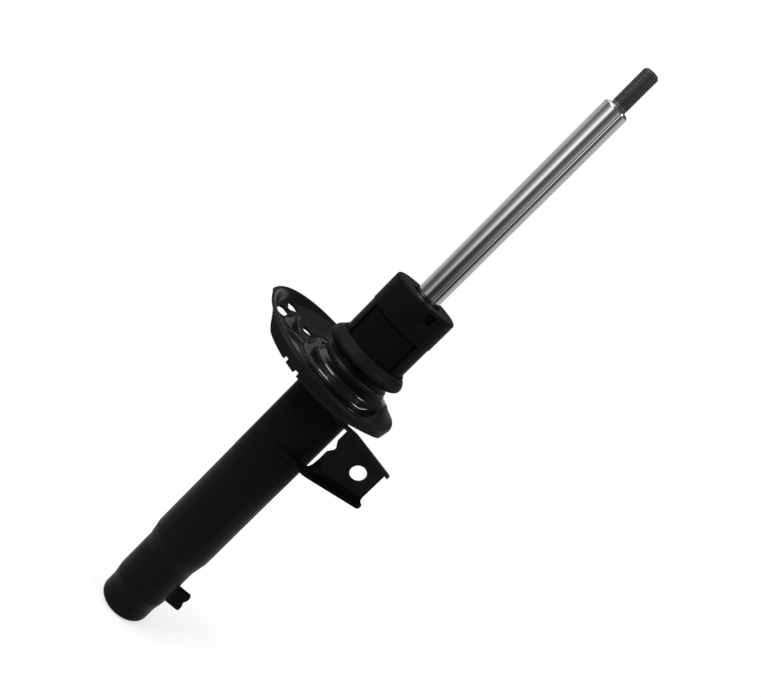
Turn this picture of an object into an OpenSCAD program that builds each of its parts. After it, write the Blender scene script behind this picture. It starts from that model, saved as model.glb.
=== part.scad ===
// Twin-tube suspension strut, in millimetres.
// +Z runs up the piston rod, and +X points along the link bracket and the locating tab.
// The origin is the centre of the tube's closed bottom. The rod is drawn fully extended.

/* [Outer tube] */
// Outside diameter of the tube above its clamping section
tube_d = 55; // [54:0.5:57]
// Thickness of the tube's wall
tube_wall = 2.5; // [2:0.1:2.8]
// Height of the tube's rolled top edge
tube_h = 373.5; // [368:0.5:385]
// Outside diameter of the section that the knuckle clamps
clamp_d = 50; // [49:0.5:51]
// Height of the clamping section
clamp_h = 39; // [34:1:44]
// Height of the taper above the clamping section
clamp_taper_h = 15; // [10:1:20]
// Outside diameter of the foot below the clamping section
foot_d = 46.5; // [45.5:0.5:48]
// Height of the foot
foot_h = 17; // [14:1:20]
// Height of the taper above the foot
foot_taper_h = 11; // [8:1:14]
// Radius of the tube's rolled bottom corner
foot_corner_r = 5.5; // [4:0.5:6]
// How far the rolled bottom edge turns in
foot_lip = 7; // [6.5:0.5:8]
// How far the rolled top edge turns in
top_lip = 4; // [3:0.5:5]
// Thickness of the rolled top edge
top_lip_t = 2; // [1.5:0.1:2.5]

/* [Piston rod] */
// Diameter of the chromed rod
rod_d = 22; // [20:0.5:23]
// Length of rod that shows above the cap when fully extended
rod_show = 198; // [180:1:220]
// Radius that rounds the rod's shoulder
rod_shoulder_r = 2.5; // [1.5:0.1:3]
// Diameter of the threaded stud
stud_d = 14; // [12:0.5:15]
// Length of the stud
stud_h = 34.5; // [28:0.5:42]
// Chamfer on the stud's tip
stud_chamfer = 1.8; // [1:0.1:2.5]
// Diameter of the thread's run-out groove at the stud's foot
stud_neck_d = 13.2; // [10.6:0.1:13.6]
// Height of the run-out groove
stud_neck_h = 2.8; // [2:0.1:4]
// Size across the flats of the socket in the stud's tip
socket_af = 6; // [5:0.5:7]
// Depth of the socket
socket_depth = 7; // [5:0.5:10]
// Diameter of the spigot that carries the piston
spigot_d = 12; // [10:0.5:14]

/* [Damper] */
// Bore of the pressure tube
bore_d = 32; // [31:0.5:33]
// Thickness of the pressure tube's wall
pressure_wall = 1.5; // [1:0.1:2]
// Height of the piston
piston_h = 18; // [14:1:24]
// Gap between the piston and the bore
piston_gap = 0.3; // [0.3:0.01:0.4]
// Distance from the rebound stop down to the piston
stop_to_piston = 60; // [50:1:80]
// Height of the piston ring
piston_ring_h = 9; // [6:0.5:11]
// Depth of the piston ring's groove
piston_ring_depth = 1.2; // [1:0.1:1.5]
// Diameter of the oil passages through the piston
passage_d = 2.6; // [2:0.1:3]
// Number of oil passages in each ring of them
passages = 6; // [4:1:8]
// Thickness of each valve plate
plate_t = 0.9; // [0.6:0.1:1.2]
// Lift of each check plate
check_lift = 1; // [0.8:0.1:1.4]
// Height of the rebound disc stack
disc_stack_h = 3.6; // [2.4:0.4:4.8]
// Size across the flats of the piston nut
nut_af = 17; // [17:0.5:19]
// Height of the piston nut
nut_h = 9; // [7:0.5:11]
// Outside diameter of the rebound stop and the bumper
stop_d = 29; // [27:0.5:30]
// Height of the rebound stop
stop_h = 6; // [4:0.5:8]
// Height of the rebound bumper
bumper_h = 8; // [6:0.5:12]
// Gap between the bumper and the rod guide at full extension
stop_gap = 0.4; // [0.3:0.1:1]

/* [Rod guide and seal] */
// Height of the guide's body above the pressure tube
guide_h = 12; // [10:0.5:15]
// Height of the guide's spigot inside the pressure tube
guide_spigot_h = 13.5; // [10:0.5:18]
// Wall of the guide bush
bush_wall = 1.5; // [1:0.1:2]
// Running clearance between the rod and its bush
bush_gap = 0.03; // [0.02:0.01:0.06]
// Height of the rod seal
seal_h = 8; // [7:0.5:10]
// Thickness of the wire ring that tightens the seal
garter_wire = 1.2; // [1:0.1:1.4]
// Thickness of the retaining plate
retainer_t = 2; // [1.5:0.1:3]

/* [Base valve] */
// Thickness of the base cup
base_cup_t = 3; // [2.5:0.1:4]
// Height of the base valve's feet
valve_foot_h = 12; // [9:0.5:14]
// Height of the base valve's body above its feet
valve_body_h = 12; // [10:0.5:15]
// Height of the flange that carries the pressure tube
valve_flange_h = 4; // [3:0.5:5]
// Diameter of the base valve's pin
valve_pin_d = 6; // [5:0.5:7]

/* [Bump cap] */
// Thickness of the cap's top
cap_top_t = 2.4; // [2:0.1:3]
// Gap between the cap and the tube
cap_gap = 0.3; // [0.2:0.05:0.5]
// Wall of the cap's skirt
cap_wall = 2; // [1.6:0.1:2.4]
// How far the upper band stands out from the skirt
cap_step = 0.6; // [0.3:0.1:1]
// Height of the upper band
cap_band_h = 27.9; // [22:0.1:32]
// Radius of the cap's top edge
cap_edge_r = 2.2; // [1:0.1:2.4]
// Gap between the cap's hole and the rod
cap_hole_gap = 2.2; // [1:0.1:3]
// Angle that each large window spans
window_angle = 102; // [80:1:110]
// Direction of the first large window
window_turn = -105; // [-120:1:-90]
// Width of the small square window
slot_w = 8.6; // [5:0.1:10]
// Height of the small square window
slot_h = 8.4; // [5:0.1:10]
// Distance from the cap's top to the small window
slot_drop = 2.6; // [2.4:0.1:6]
// Direction of the small window
slot_turn = -75; // [-90:1:-60]

/* [Spring seat] */
// Distance from the tube's top edge down to the pan's floor
seat_drop = 90.5; // [84:0.5:96]
// Outside radius of the pan
seat_r = 73; // [71:0.1:75]
// How far the pan is shifted away from the bracket
seat_shift = 19.3; // [18:0.1:22]
// Direction of the pan's low end
seat_turn = -10; // [-20:1:0]
// Thickness of the pressed sheet
sheet_t = 2.2; // [2:0.1:2.8]
// Height of the rim over the floor, at the tube's axis
rim_rise = 5.2; // [4.5:0.1:7]
// Slope of the rim along the pan
rim_slope_x = 0.11; // [0.08:0.01:0.13]
// Slope of the rim across the pan
rim_slope_y = 0.024; // [0:0.004:0.05]
// Radius of the rim's bend
rim_bend_r = 3.2; // [2.6:0.1:4]
// Height of the pan's dome over its floor
dome_h = 11.2; // [10:0.1:13]
// Gap between the tube's collar and the edge of the pan's opening
dome_gap = 2.2; // [1.8:0.1:2.8]
// Width of the dome, from the pan's opening to the groove at its foot
dome_w = 11.6; // [10:0.1:14]
// Depth of the groove
groove_depth = 0.8; // [0.4:0.1:1.5]
// How far the pan's floor falls towards its low end
floor_fall = 4; // [2:0.5:5]
// How far the rim dips beside its low end
rim_dip = 4; // [0:0.5:5]
// Slope of the pan's floor at its high end, across the pan
floor_tilt = 0.13; // [0:0.01:0.2]
// Slope of the pan's floor at its high end, out from the groove
floor_climb = 0.08; // [0:0.01:0.15]
// Share of the pan's radius at which its floor banks up to the rim behind the tube
bank_start = 0.89; // [0.8:0.01:0.93]
// How much sooner it banks up in front of the tube
bank_sooner = 0.07; // [0:0.01:0.1]
// How far the skirt leans in below the pan's low end, over its height
skirt_lean = 0.16; // [0:0.02:0.3]
// Height of the skirt at the pan's front
skirt_h = 10.8; // [9:0.1:12]
// Width of each notch in the skirt's lower edge
notch_w = 4; // [3:0.5:6]
// Depth of each notch
notch_depth = 3; // [2:0.5:4]
// Diameter of the small drain hole
drain_d = 9; // [6:0.5:10]
// Width of the two long drain holes
drain_slot_w = 9.5; // [8:0.5:10]
// Length of the two long drain holes
drain_slot_l = 15; // [12:0.5:16]

/* [Seat collar and boot ring] */
// Wall of the collar on the tube
collar_wall = 1.7; // [1.4:0.1:2]
// Height of the collar's top above the pan's floor
collar_h = 31.8; // [30:0.1:34]
// Distance from the collar's top down to the widest part of the bead ring
ring_drop = 7.2; // [6:0.1:9]
// Height of the bead ring's lower half
ring_low = 4.8; // [3.5:0.1:7]
// How far the bead ring stands out from the collar
ring_reach = 7.7; // [6:0.1:9]
// How far the bead ring's lip rises past the cap's foot
ring_lip = 2.1; // [1.5:0.1:3]

/* [Link bracket] */
// Thickness of the bracket's sheet
bracket_t = 3; // [2.5:0.1:3.5]
// Distance from the pan's floor down to the bracket's underside
bracket_drop = 71; // [66:0.5:76]
// Height of the bracket where its flanges are level
bracket_h = 52.4; // [50:0.1:55]
// Distance from the tube's axis to where the upper flange starts to fall
upper_knee = 33; // [30:0.5:38]
// Distance from the tube's axis to where the lower flange starts to rise
lower_knee = 25; // [24:0.5:30]
// Slope at which the flanges close in on each other
bracket_slope = 0.18; // [0.12:0.01:0.22]
// Distance of the bracket's web behind the tube's axis line
web_y = 24; // [22:0.5:25]
// Distance from the tube's axis to the bracket's far end
bracket_l = 73.2; // [70:0.1:78]
// Depth of the lower flange in front of the web
lower_flange = 11.4; // [9:0.1:14]
// Depth of the upper flange at the bracket's far end
end_flange = 10; // [8:0.5:12]
// Depth of the upper flange at the tube
upper_flange = 8; // [6:0.5:12]
// Inside radius of the bend between the web and the upper flange
upper_bend_r = 3; // [2:0.5:4]
// Inside radius of the bend between the web and the lower flange
lower_bend_r = 4.5; // [3:0.5:6]
// Size of the dart pressed into the lower bend at its tube end
dart = 12; // [9:0.5:14]
// Width of the gap between the tube and the web
web_gap = 12.7; // [8:0.1:16]
// Height of the strip that joins the web to the tube above the gap
web_strip = 4.8; // [4:0.1:8]
// Diameter of the hole for the stabiliser link
link_hole_d = 14.2; // [12:0.1:15]
// Distance from the tube's axis to the link hole
link_hole_x = 56.6; // [54:0.1:60]
// Height of the link hole above the bracket's underside
link_hole_h = 27.4; // [24:0.1:31]
// Height of the middle of the notch in the web's edge above the bracket's underside
web_notch_h = 29.5; // [26:0.5:33]

/* [Locating tab] */
// Distance from the tube's axis to the tab's outer edge
tab_reach = 39.5; // [36:0.5:44]
// Height of the tab's lower edge above the tube's bottom
tab_z = 27.6; // [26:0.1:34]
// Height of the tab
tab_h = 18; // [14:0.5:24]
// Thickness of the tab
tab_t = 4; // [3:0.5:6]
// Depth of the notch in the tab's outer edge
tab_notch = 1.6; // [1:0.1:2.5]

/* [Welds] */
// Size of the weld fillets
weld = 3; // [2:0.1:3.4]

/* [Hidden] */
$fn = 96;
fit = 0.05; // between pieces of one body that touch on a round face
play = 0.1; // between springs and what they press on
small = 0.01;

tube_r = tube_d / 2;
clamp_r = clamp_d / 2;
foot_r = foot_d / 2;
clamp_z = foot_h + foot_taper_h;
clamp_top = clamp_z + clamp_h;
tube_z = clamp_top + clamp_taper_h;
foot_bore = foot_r - tube_wall;
tube_bore = tube_r - tube_wall;

cap_top = tube_h + cap_top_t;
shoulder_z = cap_top + rod_show;
rod_r = rod_d / 2;
stud_r = stud_d / 2;

retainer_top = tube_h - top_lip_t;
seal_top = retainer_top - retainer_t;
guide_top = seal_top - seal_h;
pressure_top = guide_top - guide_h;
guide_bottom = pressure_top - guide_spigot_h;
bush_r = rod_r + bush_gap;
bush_outer_r = bush_r + bush_wall;
seal_land = 2.4; // rubber between the rod and the garter spring
garter_r = rod_r + seal_land + garter_wire / 2;

bumper_top = guide_bottom - stop_gap;
stop_top = bumper_top - bumper_h;
stop_bottom = stop_top - stop_h;
piston_top = stop_bottom - stop_to_piston;
piston_bottom = piston_top - piston_h;
nut_top = piston_bottom - disc_stack_h;
nut_bottom = nut_top - nut_h;
thread_end = 2; // spigot that shows below the nut
spigot_r = spigot_d / 2;
bore_r = bore_d / 2;
pressure_r = bore_r + pressure_wall;
piston_r = bore_r - piston_gap;
ring_groove_r = piston_r - piston_ring_depth;
ring_mid = piston_top - piston_h / 2;

check_spring_h = 2 * check_lift + 0.6;
check_neck_h = plate_t + check_spring_h + 3 * play;
check_head_t = 2;
check_hub = 2; // wall of the hub that guides a check plate
check_edge = 1.6; // land outside the outer passages
outer_ring_r = piston_r - check_edge - passage_d / 2 - 1;
plate_r = outer_ring_r + passage_d / 2 + 1.2;
spigot_check_r = spigot_r + fit + check_hub;
shoulder_low = piston_top + check_neck_h + check_head_t;

base_lip_t = tube_wall;
cup_top = base_lip_t + base_cup_t;
valve_flange_z = cup_top + valve_foot_h;
valve_body_z = valve_flange_z + valve_flange_h;
valve_top = valve_flange_z + valve_body_h;
valve_pin_r = valve_pin_d / 2;
valve_neck_r = valve_pin_r + check_hub;
pin_head_h = 3;

seat_z = tube_h - seat_drop;
cap_bore = tube_r + cap_gap;
cap_r = cap_bore + cap_wall;
cap_band_r = cap_r + cap_step;
cap_hole_r = rod_r + cap_hole_gap;
collar_top = seat_z + collar_h;
collar_r = tube_r + collar_wall;
ring_widest = collar_top - ring_drop;
ring_top = collar_top + ring_lip;
ring_r = collar_r + ring_reach;
ring_mouth_r = cap_r + 0.4;
collar_low = seat_z + 0.45 * dome_h;
bracket_z = seat_z - bracket_drop;
link_hole_z = bracket_z + link_hole_h;
web_notch_z = bracket_z + web_notch_h;

rim_r = seat_r - rim_bend_r;
pan_steps = 96; // round the pan
floor_steps = 8; // across its floor, its bank and its bend
bank_steps = 5;
bend_steps = 3;

// The dome's profile: how far out, and how high, as shares of its width and height
DOME = [[0, 1], [0.2, 0.83], [0.38, 0.72], [0.47, 0.65], [0.53, 0.53], [0.58, 0.34], [0.63, 0.13],
        [0.7, 0.02], [0.84, 0]];
dome_top_r = collar_r + dome_gap;
groove_r = dome_top_r + dome_w;
dome_edge = [dome_top_r, seat_z + dome_h];
dome_next = [dome_top_r + DOME[1][0] * (groove_r - dome_top_r), seat_z + DOME[1][1] * dome_h];
dome_normal = [dome_next.y - dome_edge.y, dome_edge.x - dome_next.x] / norm(dome_next - dome_edge);
dome_under = dome_edge + sheet_t * dome_normal;
dome_skirt_w = 0.78 * dome_w; // width over which the floor starts to fall beside the dome
groove_w = 0.07 * seat_r;
tilt_limit = 0.11 * seat_r; // the high end's floor stays level this far in front of the axis
least_floor = 0.45; // least share of the way from the groove to the rim that stays floor
notch_inside = 4; // how far the edge notches are cut inside the rim's bend, outside it and below
notch_outside = 8;
notch_below = 5;
seat_touch = 0.25; // gap between the collar's foot and the pan's edge

// Bosses and dents pressed into the pan's floor: place and half widths as shares of the pan's
// radius, height as a share of the dome's, turn
BOSSES = [
    [[-0.905, 0.13], [0.105, 0.27], 0.25, 10],
    [[-0.7, -0.15], [0.19, 0.17], 0.23, 20],
    [[-0.87, -0.2], [0.1, 0.11], -0.21, 30],
];
// The stop for the coil's end, beside the dome
COIL_STOP = [[-0.46, -0.03], [0.19, 0.24], 0.85, 0];
// Places of the drain holes in shares of the pan's radius, and the long ones' turns
DRAIN = [-0.685, 0.17];
LONG_DRAINS = [[[-1.03, 0.03], 2], [[-0.99, 0.275], 26]];
NOTCHES = [-121, -112];

// ---- shared shapes ----

function arc(cx, cy, r, a0, a1, n = 6) =
    [for (i = [0 : n]) [cx + r * cos(a0 + (a1 - a0) * i / n), cy + r * sin(a0 + (a1 - a0) * i / n)]];

module ring(r_in, r_out, z0, z1) {
    translate([0, 0, z0]) rotate_extrude()
        translate([r_in, 0]) square([r_out - r_in, z1 - z0]);
}

module sector(r_in, r_out, z0, z1, middle, angle) {
    translate([0, 0, z0]) rotate([0, 0, middle - angle / 2]) rotate_extrude(angle = angle)
        translate([r_in, 0]) square([r_out - r_in, z1 - z0]);
}

module passage_ring(r, d, z0, z1, turn = 0) {
    for (i = [0 : passages - 1]) rotate([0, 0, turn + i * 360 / passages])
        translate([r, 0, z0]) cylinder(d = d, h = z1 - z0, $fn = 24);
}

// A dished washer that works as a spring
module spring_washer(r_in, r_out, z0, h) {
    t = 0.5;
    rotate_extrude() polygon([[r_in, z0 + h - t], [r_out, z0], [r_out, z0 + t], [r_in, z0 + h]]);
}

// ---- tube and its foot ----

module outer_tube() {
    corner_bore_r = max(foot_corner_r - tube_wall, small);
    color([0.07, 0.07, 0.075]) rotate_extrude() polygon(concat(
        [[foot_bore - foot_lip + tube_wall, 0]],
        arc(foot_r - foot_corner_r, foot_corner_r, foot_corner_r, -90, 0),
        [[foot_r, foot_h], [clamp_r, clamp_z], [clamp_r, clamp_top], [tube_r, tube_z]],
        arc(tube_r - top_lip_t, tube_h - top_lip_t, top_lip_t, 0, 90),
        [[tube_bore - top_lip, tube_h], [tube_bore - top_lip, retainer_top],
         [tube_bore, retainer_top], [tube_bore, tube_z], [clamp_r - tube_wall, clamp_top],
         [clamp_r - tube_wall, clamp_z], [foot_bore, foot_h],
         [foot_bore, base_lip_t + corner_bore_r], [foot_bore - corner_bore_r, base_lip_t],
         [foot_bore - foot_lip + tube_wall, base_lip_t]]
    ));
}

module base_cup() {
    pad_r = foot_bore - foot_lip + tube_wall - fit;
    cup_r = foot_bore - fit;
    corner = max(foot_corner_r - tube_wall, small) + fit;
    color([0.3, 0.3, 0.32]) rotate_extrude() polygon([
        [0, 0], [pad_r, 0], [pad_r, base_lip_t], [cup_r - corner, base_lip_t],
        [cup_r, base_lip_t + corner], [cup_r, cup_top], [0, cup_top],
    ]);
}

// ---- base valve ----

module base_valve_body() {
    flange_r = foot_bore - 1.5;
    leg_wall = 4;
    color([0.45, 0.45, 0.47]) difference() {
        union() {
            ring(valve_pin_r + fit, bore_r - fit, valve_flange_z, valve_top);
            ring(valve_pin_r + fit, flange_r, valve_flange_z, valve_body_z);
            ring(flange_r - leg_wall, flange_r, cup_top, valve_flange_z);
        }
        passage_ring(outer_ring_r, passage_d, valve_flange_z - 1, valve_top + 1);
        passage_ring(valve_neck_r + passage_d, passage_d * 0.6, valve_flange_z - 1, valve_top + 1, 30);
        for (i = [0 : 3]) rotate([0, 0, i * 90]) translate([0, -4, cup_top - 1])
            cube([flange_r + 1, 8, valve_foot_h - 3]);
    }
}

module base_valve_discs() {
    disc_r = valve_neck_r + 2 * passage_d;
    color([0.6, 0.6, 0.62]) for (i = [0 : 2])
        ring(valve_pin_r + fit, disc_r - i, valve_flange_z - (i + 1) * plate_t, valve_flange_z - i * plate_t);
}

module base_check_plate() {
    color([0.6, 0.6, 0.62]) ring(valve_neck_r + piston_gap, plate_r, valve_top + play / 2,
        valve_top + play / 2 + plate_t);
}

module base_check_spring() {
    color([0.35, 0.35, 0.4]) spring_washer(valve_neck_r + piston_gap, plate_r - 3,
        valve_top + plate_t + 1.5 * play, check_spring_h);
}

module base_valve_pin() {
    head_r = valve_neck_r + 5;
    disc_bottom = valve_flange_z - 3 * plate_t;
    neck_top = valve_top + check_neck_h;
    color([0.5, 0.5, 0.52]) rotate_extrude() polygon([
        [0, disc_bottom - pin_head_h], [valve_neck_r, disc_bottom - pin_head_h],
        [valve_neck_r, disc_bottom], [valve_pin_r, disc_bottom], [valve_pin_r, valve_top],
        [valve_neck_r, valve_top], [valve_neck_r, neck_top], [head_r, neck_top],
        [head_r, neck_top + check_head_t], [0, neck_top + check_head_t],
    ]);
}

module pressure_tube() {
    color([0.5, 0.5, 0.52]) ring(bore_r, pressure_r, valve_body_z, pressure_top);
}

// ---- rod and piston ----

module piston_rod() {
    color([0.78, 0.78, 0.8]) difference() {
        rotate_extrude() polygon(concat(
            [[0, nut_bottom - thread_end], [spigot_r - 1, nut_bottom - thread_end],
             [spigot_r, nut_bottom - thread_end + 1], [spigot_r, shoulder_low], [rod_r, shoulder_low]],
            arc(rod_r - rod_shoulder_r, shoulder_z - rod_shoulder_r, rod_shoulder_r, 0, 90),
            [[stud_neck_d / 2, shoulder_z], [stud_neck_d / 2, shoulder_z + stud_neck_h],
             [stud_r, shoulder_z + stud_neck_h + (stud_r - stud_neck_d / 2)],
             [stud_r, shoulder_z + stud_h - stud_chamfer],
             [stud_r - stud_chamfer, shoulder_z + stud_h], [0, shoulder_z + stud_h]]
        ));
        translate([0, 0, shoulder_z + stud_h - socket_depth])
            cylinder(d = socket_af / cos(30), h = socket_depth + 1, $fn = 6);
    }
}

module rebound_stop() {
    color([0.4, 0.4, 0.42]) rotate_extrude() polygon([
        [rod_r + small, stop_bottom], [stop_d / 2 - 1, stop_bottom], [stop_d / 2, stop_bottom + 1],
        [stop_d / 2, stop_top], [rod_r + small, stop_top],
    ]);
}

module rebound_bumper() {
    waist = 1;
    color([0.5, 0.35, 0.15]) rotate_extrude() polygon([
        [rod_r + small, stop_top], [stop_d / 2, stop_top], [stop_d / 2 - waist, stop_top + bumper_h / 2],
        [stop_d / 2, bumper_top], [rod_r + small, bumper_top],
    ]);
}

module piston() {
    recess = 1;
    color([0.42, 0.42, 0.44]) difference() {
        rotate_extrude() polygon([
            [spigot_r + fit, piston_bottom], [piston_r - 0.8, piston_bottom], [piston_r, piston_bottom + 0.8],
            [piston_r, ring_mid - piston_ring_h / 2 - fit],
            [ring_groove_r, ring_mid - piston_ring_h / 2 - fit],
            [ring_groove_r, ring_mid + piston_ring_h / 2 + fit],
            [piston_r, ring_mid + piston_ring_h / 2 + fit],
            [piston_r, piston_top - 0.8], [piston_r - 0.8, piston_top], [spigot_r + fit, piston_top],
        ]);
        passage_ring(outer_ring_r, passage_d, piston_bottom - 1, piston_top + 1);
        passage_ring(spigot_check_r + passage_d * 0.4, passage_d * 0.6, piston_bottom - 1,
                     piston_top + 1, 30);
        ring(spigot_check_r - 0.5, spigot_check_r + passage_d, piston_bottom - 1, piston_bottom + recess);
    }
}

module piston_ring() {
    color([0.55, 0.5, 0.35]) ring(ring_groove_r + 0.1, bore_r - 0.05,
        ring_mid - piston_ring_h / 2 + fit, ring_mid + piston_ring_h / 2 - fit);
}

module piston_discs() {
    discs = 4;
    disc_t = disc_stack_h / discs;
    disc_r = spigot_check_r + passage_d + 1;
    color([0.6, 0.6, 0.62]) for (i = [0 : discs - 1])
        ring(spigot_r + fit, disc_r - i * 0.8, piston_bottom - (i + 1) * disc_t, piston_bottom - i * disc_t);
}

module piston_check_plate() {
    color([0.6, 0.6, 0.62]) ring(spigot_check_r + piston_gap, plate_r, piston_top + play / 2,
        piston_top + play / 2 + plate_t);
}

module piston_check_spring() {
    color([0.35, 0.35, 0.4]) spring_washer(spigot_check_r + piston_gap, plate_r - 2,
        piston_top + plate_t + 1.5 * play, check_spring_h);
}

module piston_check_guide() {
    head_r = spigot_check_r + 4.5;
    color([0.5, 0.5, 0.52]) union() {
        ring(spigot_r + fit, spigot_check_r, piston_top, piston_top + check_neck_h);
        ring(spigot_r + fit, head_r, piston_top + check_neck_h, shoulder_low);
    }
}

module piston_nut() {
    color([0.55, 0.55, 0.57]) difference() {
        translate([0, 0, nut_bottom]) cylinder(d = nut_af / cos(30), h = nut_h, $fn = 6);
        translate([0, 0, nut_bottom - 1]) cylinder(r = spigot_r + fit, h = nut_h + 2);
    }
}

// ---- rod guide, seal and top closure ----

module rod_guide() {
    body_r = tube_bore - fit;
    seat_r_in = bush_outer_r + fit;
    color([0.4, 0.4, 0.42]) difference() {
        rotate_extrude() polygon([
            [seat_r_in, guide_bottom], [bore_r - fit - 0.8, guide_bottom], [bore_r - fit, guide_bottom + 0.8],
            [bore_r - fit, pressure_top], [pressure_r + 3, pressure_top], [body_r, pressure_top + 4],
            [body_r, guide_top], [seat_r_in, guide_top],
        ]);
        passage_ring(pressure_r + 3.2, passage_d, pressure_top - 1, guide_top + 1);
    }
}

module guide_bush() {
    color([0.6, 0.45, 0.25]) ring(bush_r, bush_outer_r, guide_bottom + 1, guide_top - 1);
}

module rod_seal() {
    body_r = tube_bore - fit;
    lip_z = guide_top + garter_wire / 2 + 2.2;
    groove_r = garter_wire / 2 + fit;
    color([0.12, 0.12, 0.12]) difference() {
        rotate_extrude() polygon([
            [rod_r + bush_gap, guide_top + 1.4], [rod_r + 1.8, guide_top], [body_r, guide_top],
            [body_r, seal_top], [garter_r + 4.4, seal_top], [garter_r + 2.2, seal_top - 2],
            [garter_r, seal_top - 2], [rod_r + bush_gap, seal_top - 1],
        ]);
        rotate_extrude() translate([garter_r, lip_z]) circle(r = groove_r, $fn = 24);
    }
}

module seal_spring() {
    lip_z = guide_top + garter_wire / 2 + 2.2;
    color([0.6, 0.6, 0.62]) rotate_extrude() translate([garter_r, lip_z])
        circle(d = garter_wire, $fn = 24);
}

module retaining_plate() {
    color([0.35, 0.35, 0.37]) ring(rod_r + 1, tube_bore - fit, seal_top, retainer_top);
}

// ---- cap, boot ring and seat collar ----

module bump_cap() {
    band_low = cap_top - cap_band_h;
    edge = min(cap_edge_r, cap_band_r - cap_bore);
    window_z = band_low - cap_step;
    color([0.09, 0.09, 0.095]) difference() {
        rotate_extrude() polygon(concat(
            [[cap_bore, collar_top], [cap_r, collar_top],
             [cap_r, band_low - cap_step], [cap_band_r, band_low]],
            arc(cap_band_r - edge, cap_top - edge, edge, 0, 90),
            [[cap_hole_r + 0.6, cap_top], [cap_hole_r, cap_top - 0.6],
             [cap_hole_r, tube_h], [cap_bore, tube_h]]
        ));
        for (turn = [0, 180])
            sector(cap_bore - 1, cap_band_r + 1, collar_top - 1, window_z, window_turn + turn, window_angle);
        for (turn = [0, 180]) rotate([0, 0, slot_turn + turn])
            translate([cap_bore - 1, -slot_w / 2, cap_top - slot_drop - slot_h])
                cube([cap_wall + cap_step + 2, slot_w, slot_h]);
    }
}

module boot_ring() {
    upper = arc(collar_r, ring_widest, ring_reach, 0, 58);
    lower = [for (q = arc(0, 0, 1, -80, -8, 7)) [collar_r + ring_reach * q.x, ring_widest + ring_low * q.y]];
    color([0.08, 0.08, 0.085]) rotate_extrude() polygon(concat(
        [[collar_r + fit, ring_widest - ring_low]], lower, upper,
        [[ring_mouth_r + 1.2, ring_top], [ring_mouth_r, ring_top - 0.4],
         [ring_mouth_r, collar_top], [collar_r + fit, collar_top]]
    ));
}

module seat_collar() {
    flare = 0.36 * dome_gap;
    color([0.07, 0.07, 0.075]) rotate_extrude() polygon([
        [tube_r + fit, collar_low], [collar_r, collar_low], [collar_r, dome_under.y],
        dome_under - [seat_touch, 0], dome_edge - [seat_touch, 0],
        [collar_r + flare, dome_edge.y + 2 * flare], [collar_r, dome_edge.y + 5 * flare],
        [collar_r, collar_top], [tube_r + fit, collar_top],
    ]);
}

// ---- spring seat: a pan pressed from one sheet ----

// Everything here is in the pan's own frame, whose +X points to its low end.

function smooth(t) = let (u = min(max(t, 0), 1)) u * u * (3 - 2 * u);

// Distance from the tube's axis to the circle of radius r around the pan's centre
function reach(a, r) = -seat_shift * cos(a) + sqrt(r * r - pow(seat_shift * sin(a), 2));

// A soft bump, full in its middle and 0 outside its half widths
function bump(p, b) =
    let (d = p / seat_r - b[0],
         q = [(d.x * cos(b[3]) + d.y * sin(b[3])) / b[1].x, (d.y * cos(b[3]) - d.x * sin(b[3])) / b[1].y])
    b[2] * dome_h * smooth(1.35 * (1 - norm(q)));

function rim_z(p) = seat_z + rim_rise - rim_slope_x * p.x + rim_slope_y * p.y
    - rim_dip * smooth(1 - abs(atan2(p.y, p.x) - 52) / 48);

function dome_z(r) = dome_h * lookup((r - dome_top_r) / dome_w, DOME);

// The floor falls from the dome into a groove, rises over a low lip and banks up to the rim.
// At its high end it also slopes, so that the coil's end runs up along it.
function bank_from(p) =
    let (q = p / seat_r)
    bank_start - bank_sooner * smooth((0.07 - q.y) / 0.27) * smooth((0.41 - q.x) / 0.55);

function pan_z(p) =
    let (r = norm(p),
         q = p / seat_r,
         start = bank_from(p),
         bank = smooth((norm(p + [seat_shift, 0]) / rim_r - start) / (1 - start)),
         past = (r - groove_r) / groove_w,
         groove = groove_depth * (r < groove_r ? -smooth((r - dome_top_r) / dome_w)
             : 2 * smooth(past) - smooth(past - 1) - 1),
         fall = floor_fall * smooth((q.x - 0.14) / 0.55) * smooth((r - dome_top_r) / dome_skirt_w),
         tilt = floor_tilt * max(p.y, -tilt_limit) + floor_climb * max(0, r - groove_r),
         climb = tilt * smooth((-q.x - 0.27) / 0.34) * smooth((r - dome_top_r - sheet_t) / dome_w),
         bosses = bump(p, BOSSES[0]) + bump(p, BOSSES[1]) + bump(p, BOSSES[2]),
         raised = max(dome_z(r), bump(p, COIL_STOP)) + bosses,
         floor_z = seat_z + groove + raised - fall + climb)
    floor_z + (rim_z(p) - floor_z) * bank;

// How far the skirt hangs below the rim, by direction from the tube's axis
function skirt_drop(a) = skirt_h * lookup(a, [
    [-180, 0.22], [-174, 0.14], [-168, 0.05], [-151, 0.05], [-147, 0.18], [-144, 0.46],
    [-141, 0.74], [-138, 0.92], [-134, 0.99], [-127, 1.04], [-118, 1.07], [-109, 1.07],
    [-92, 0.97], [-79, 0.9], [-68, 0.82], [-55, 0.72], [-42, 0.72], [-20, 0.93],
    [0, 1.2], [6, 1.2], [11, 0.35], [150, 0.35], [180, 0.22],
]);

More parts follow.
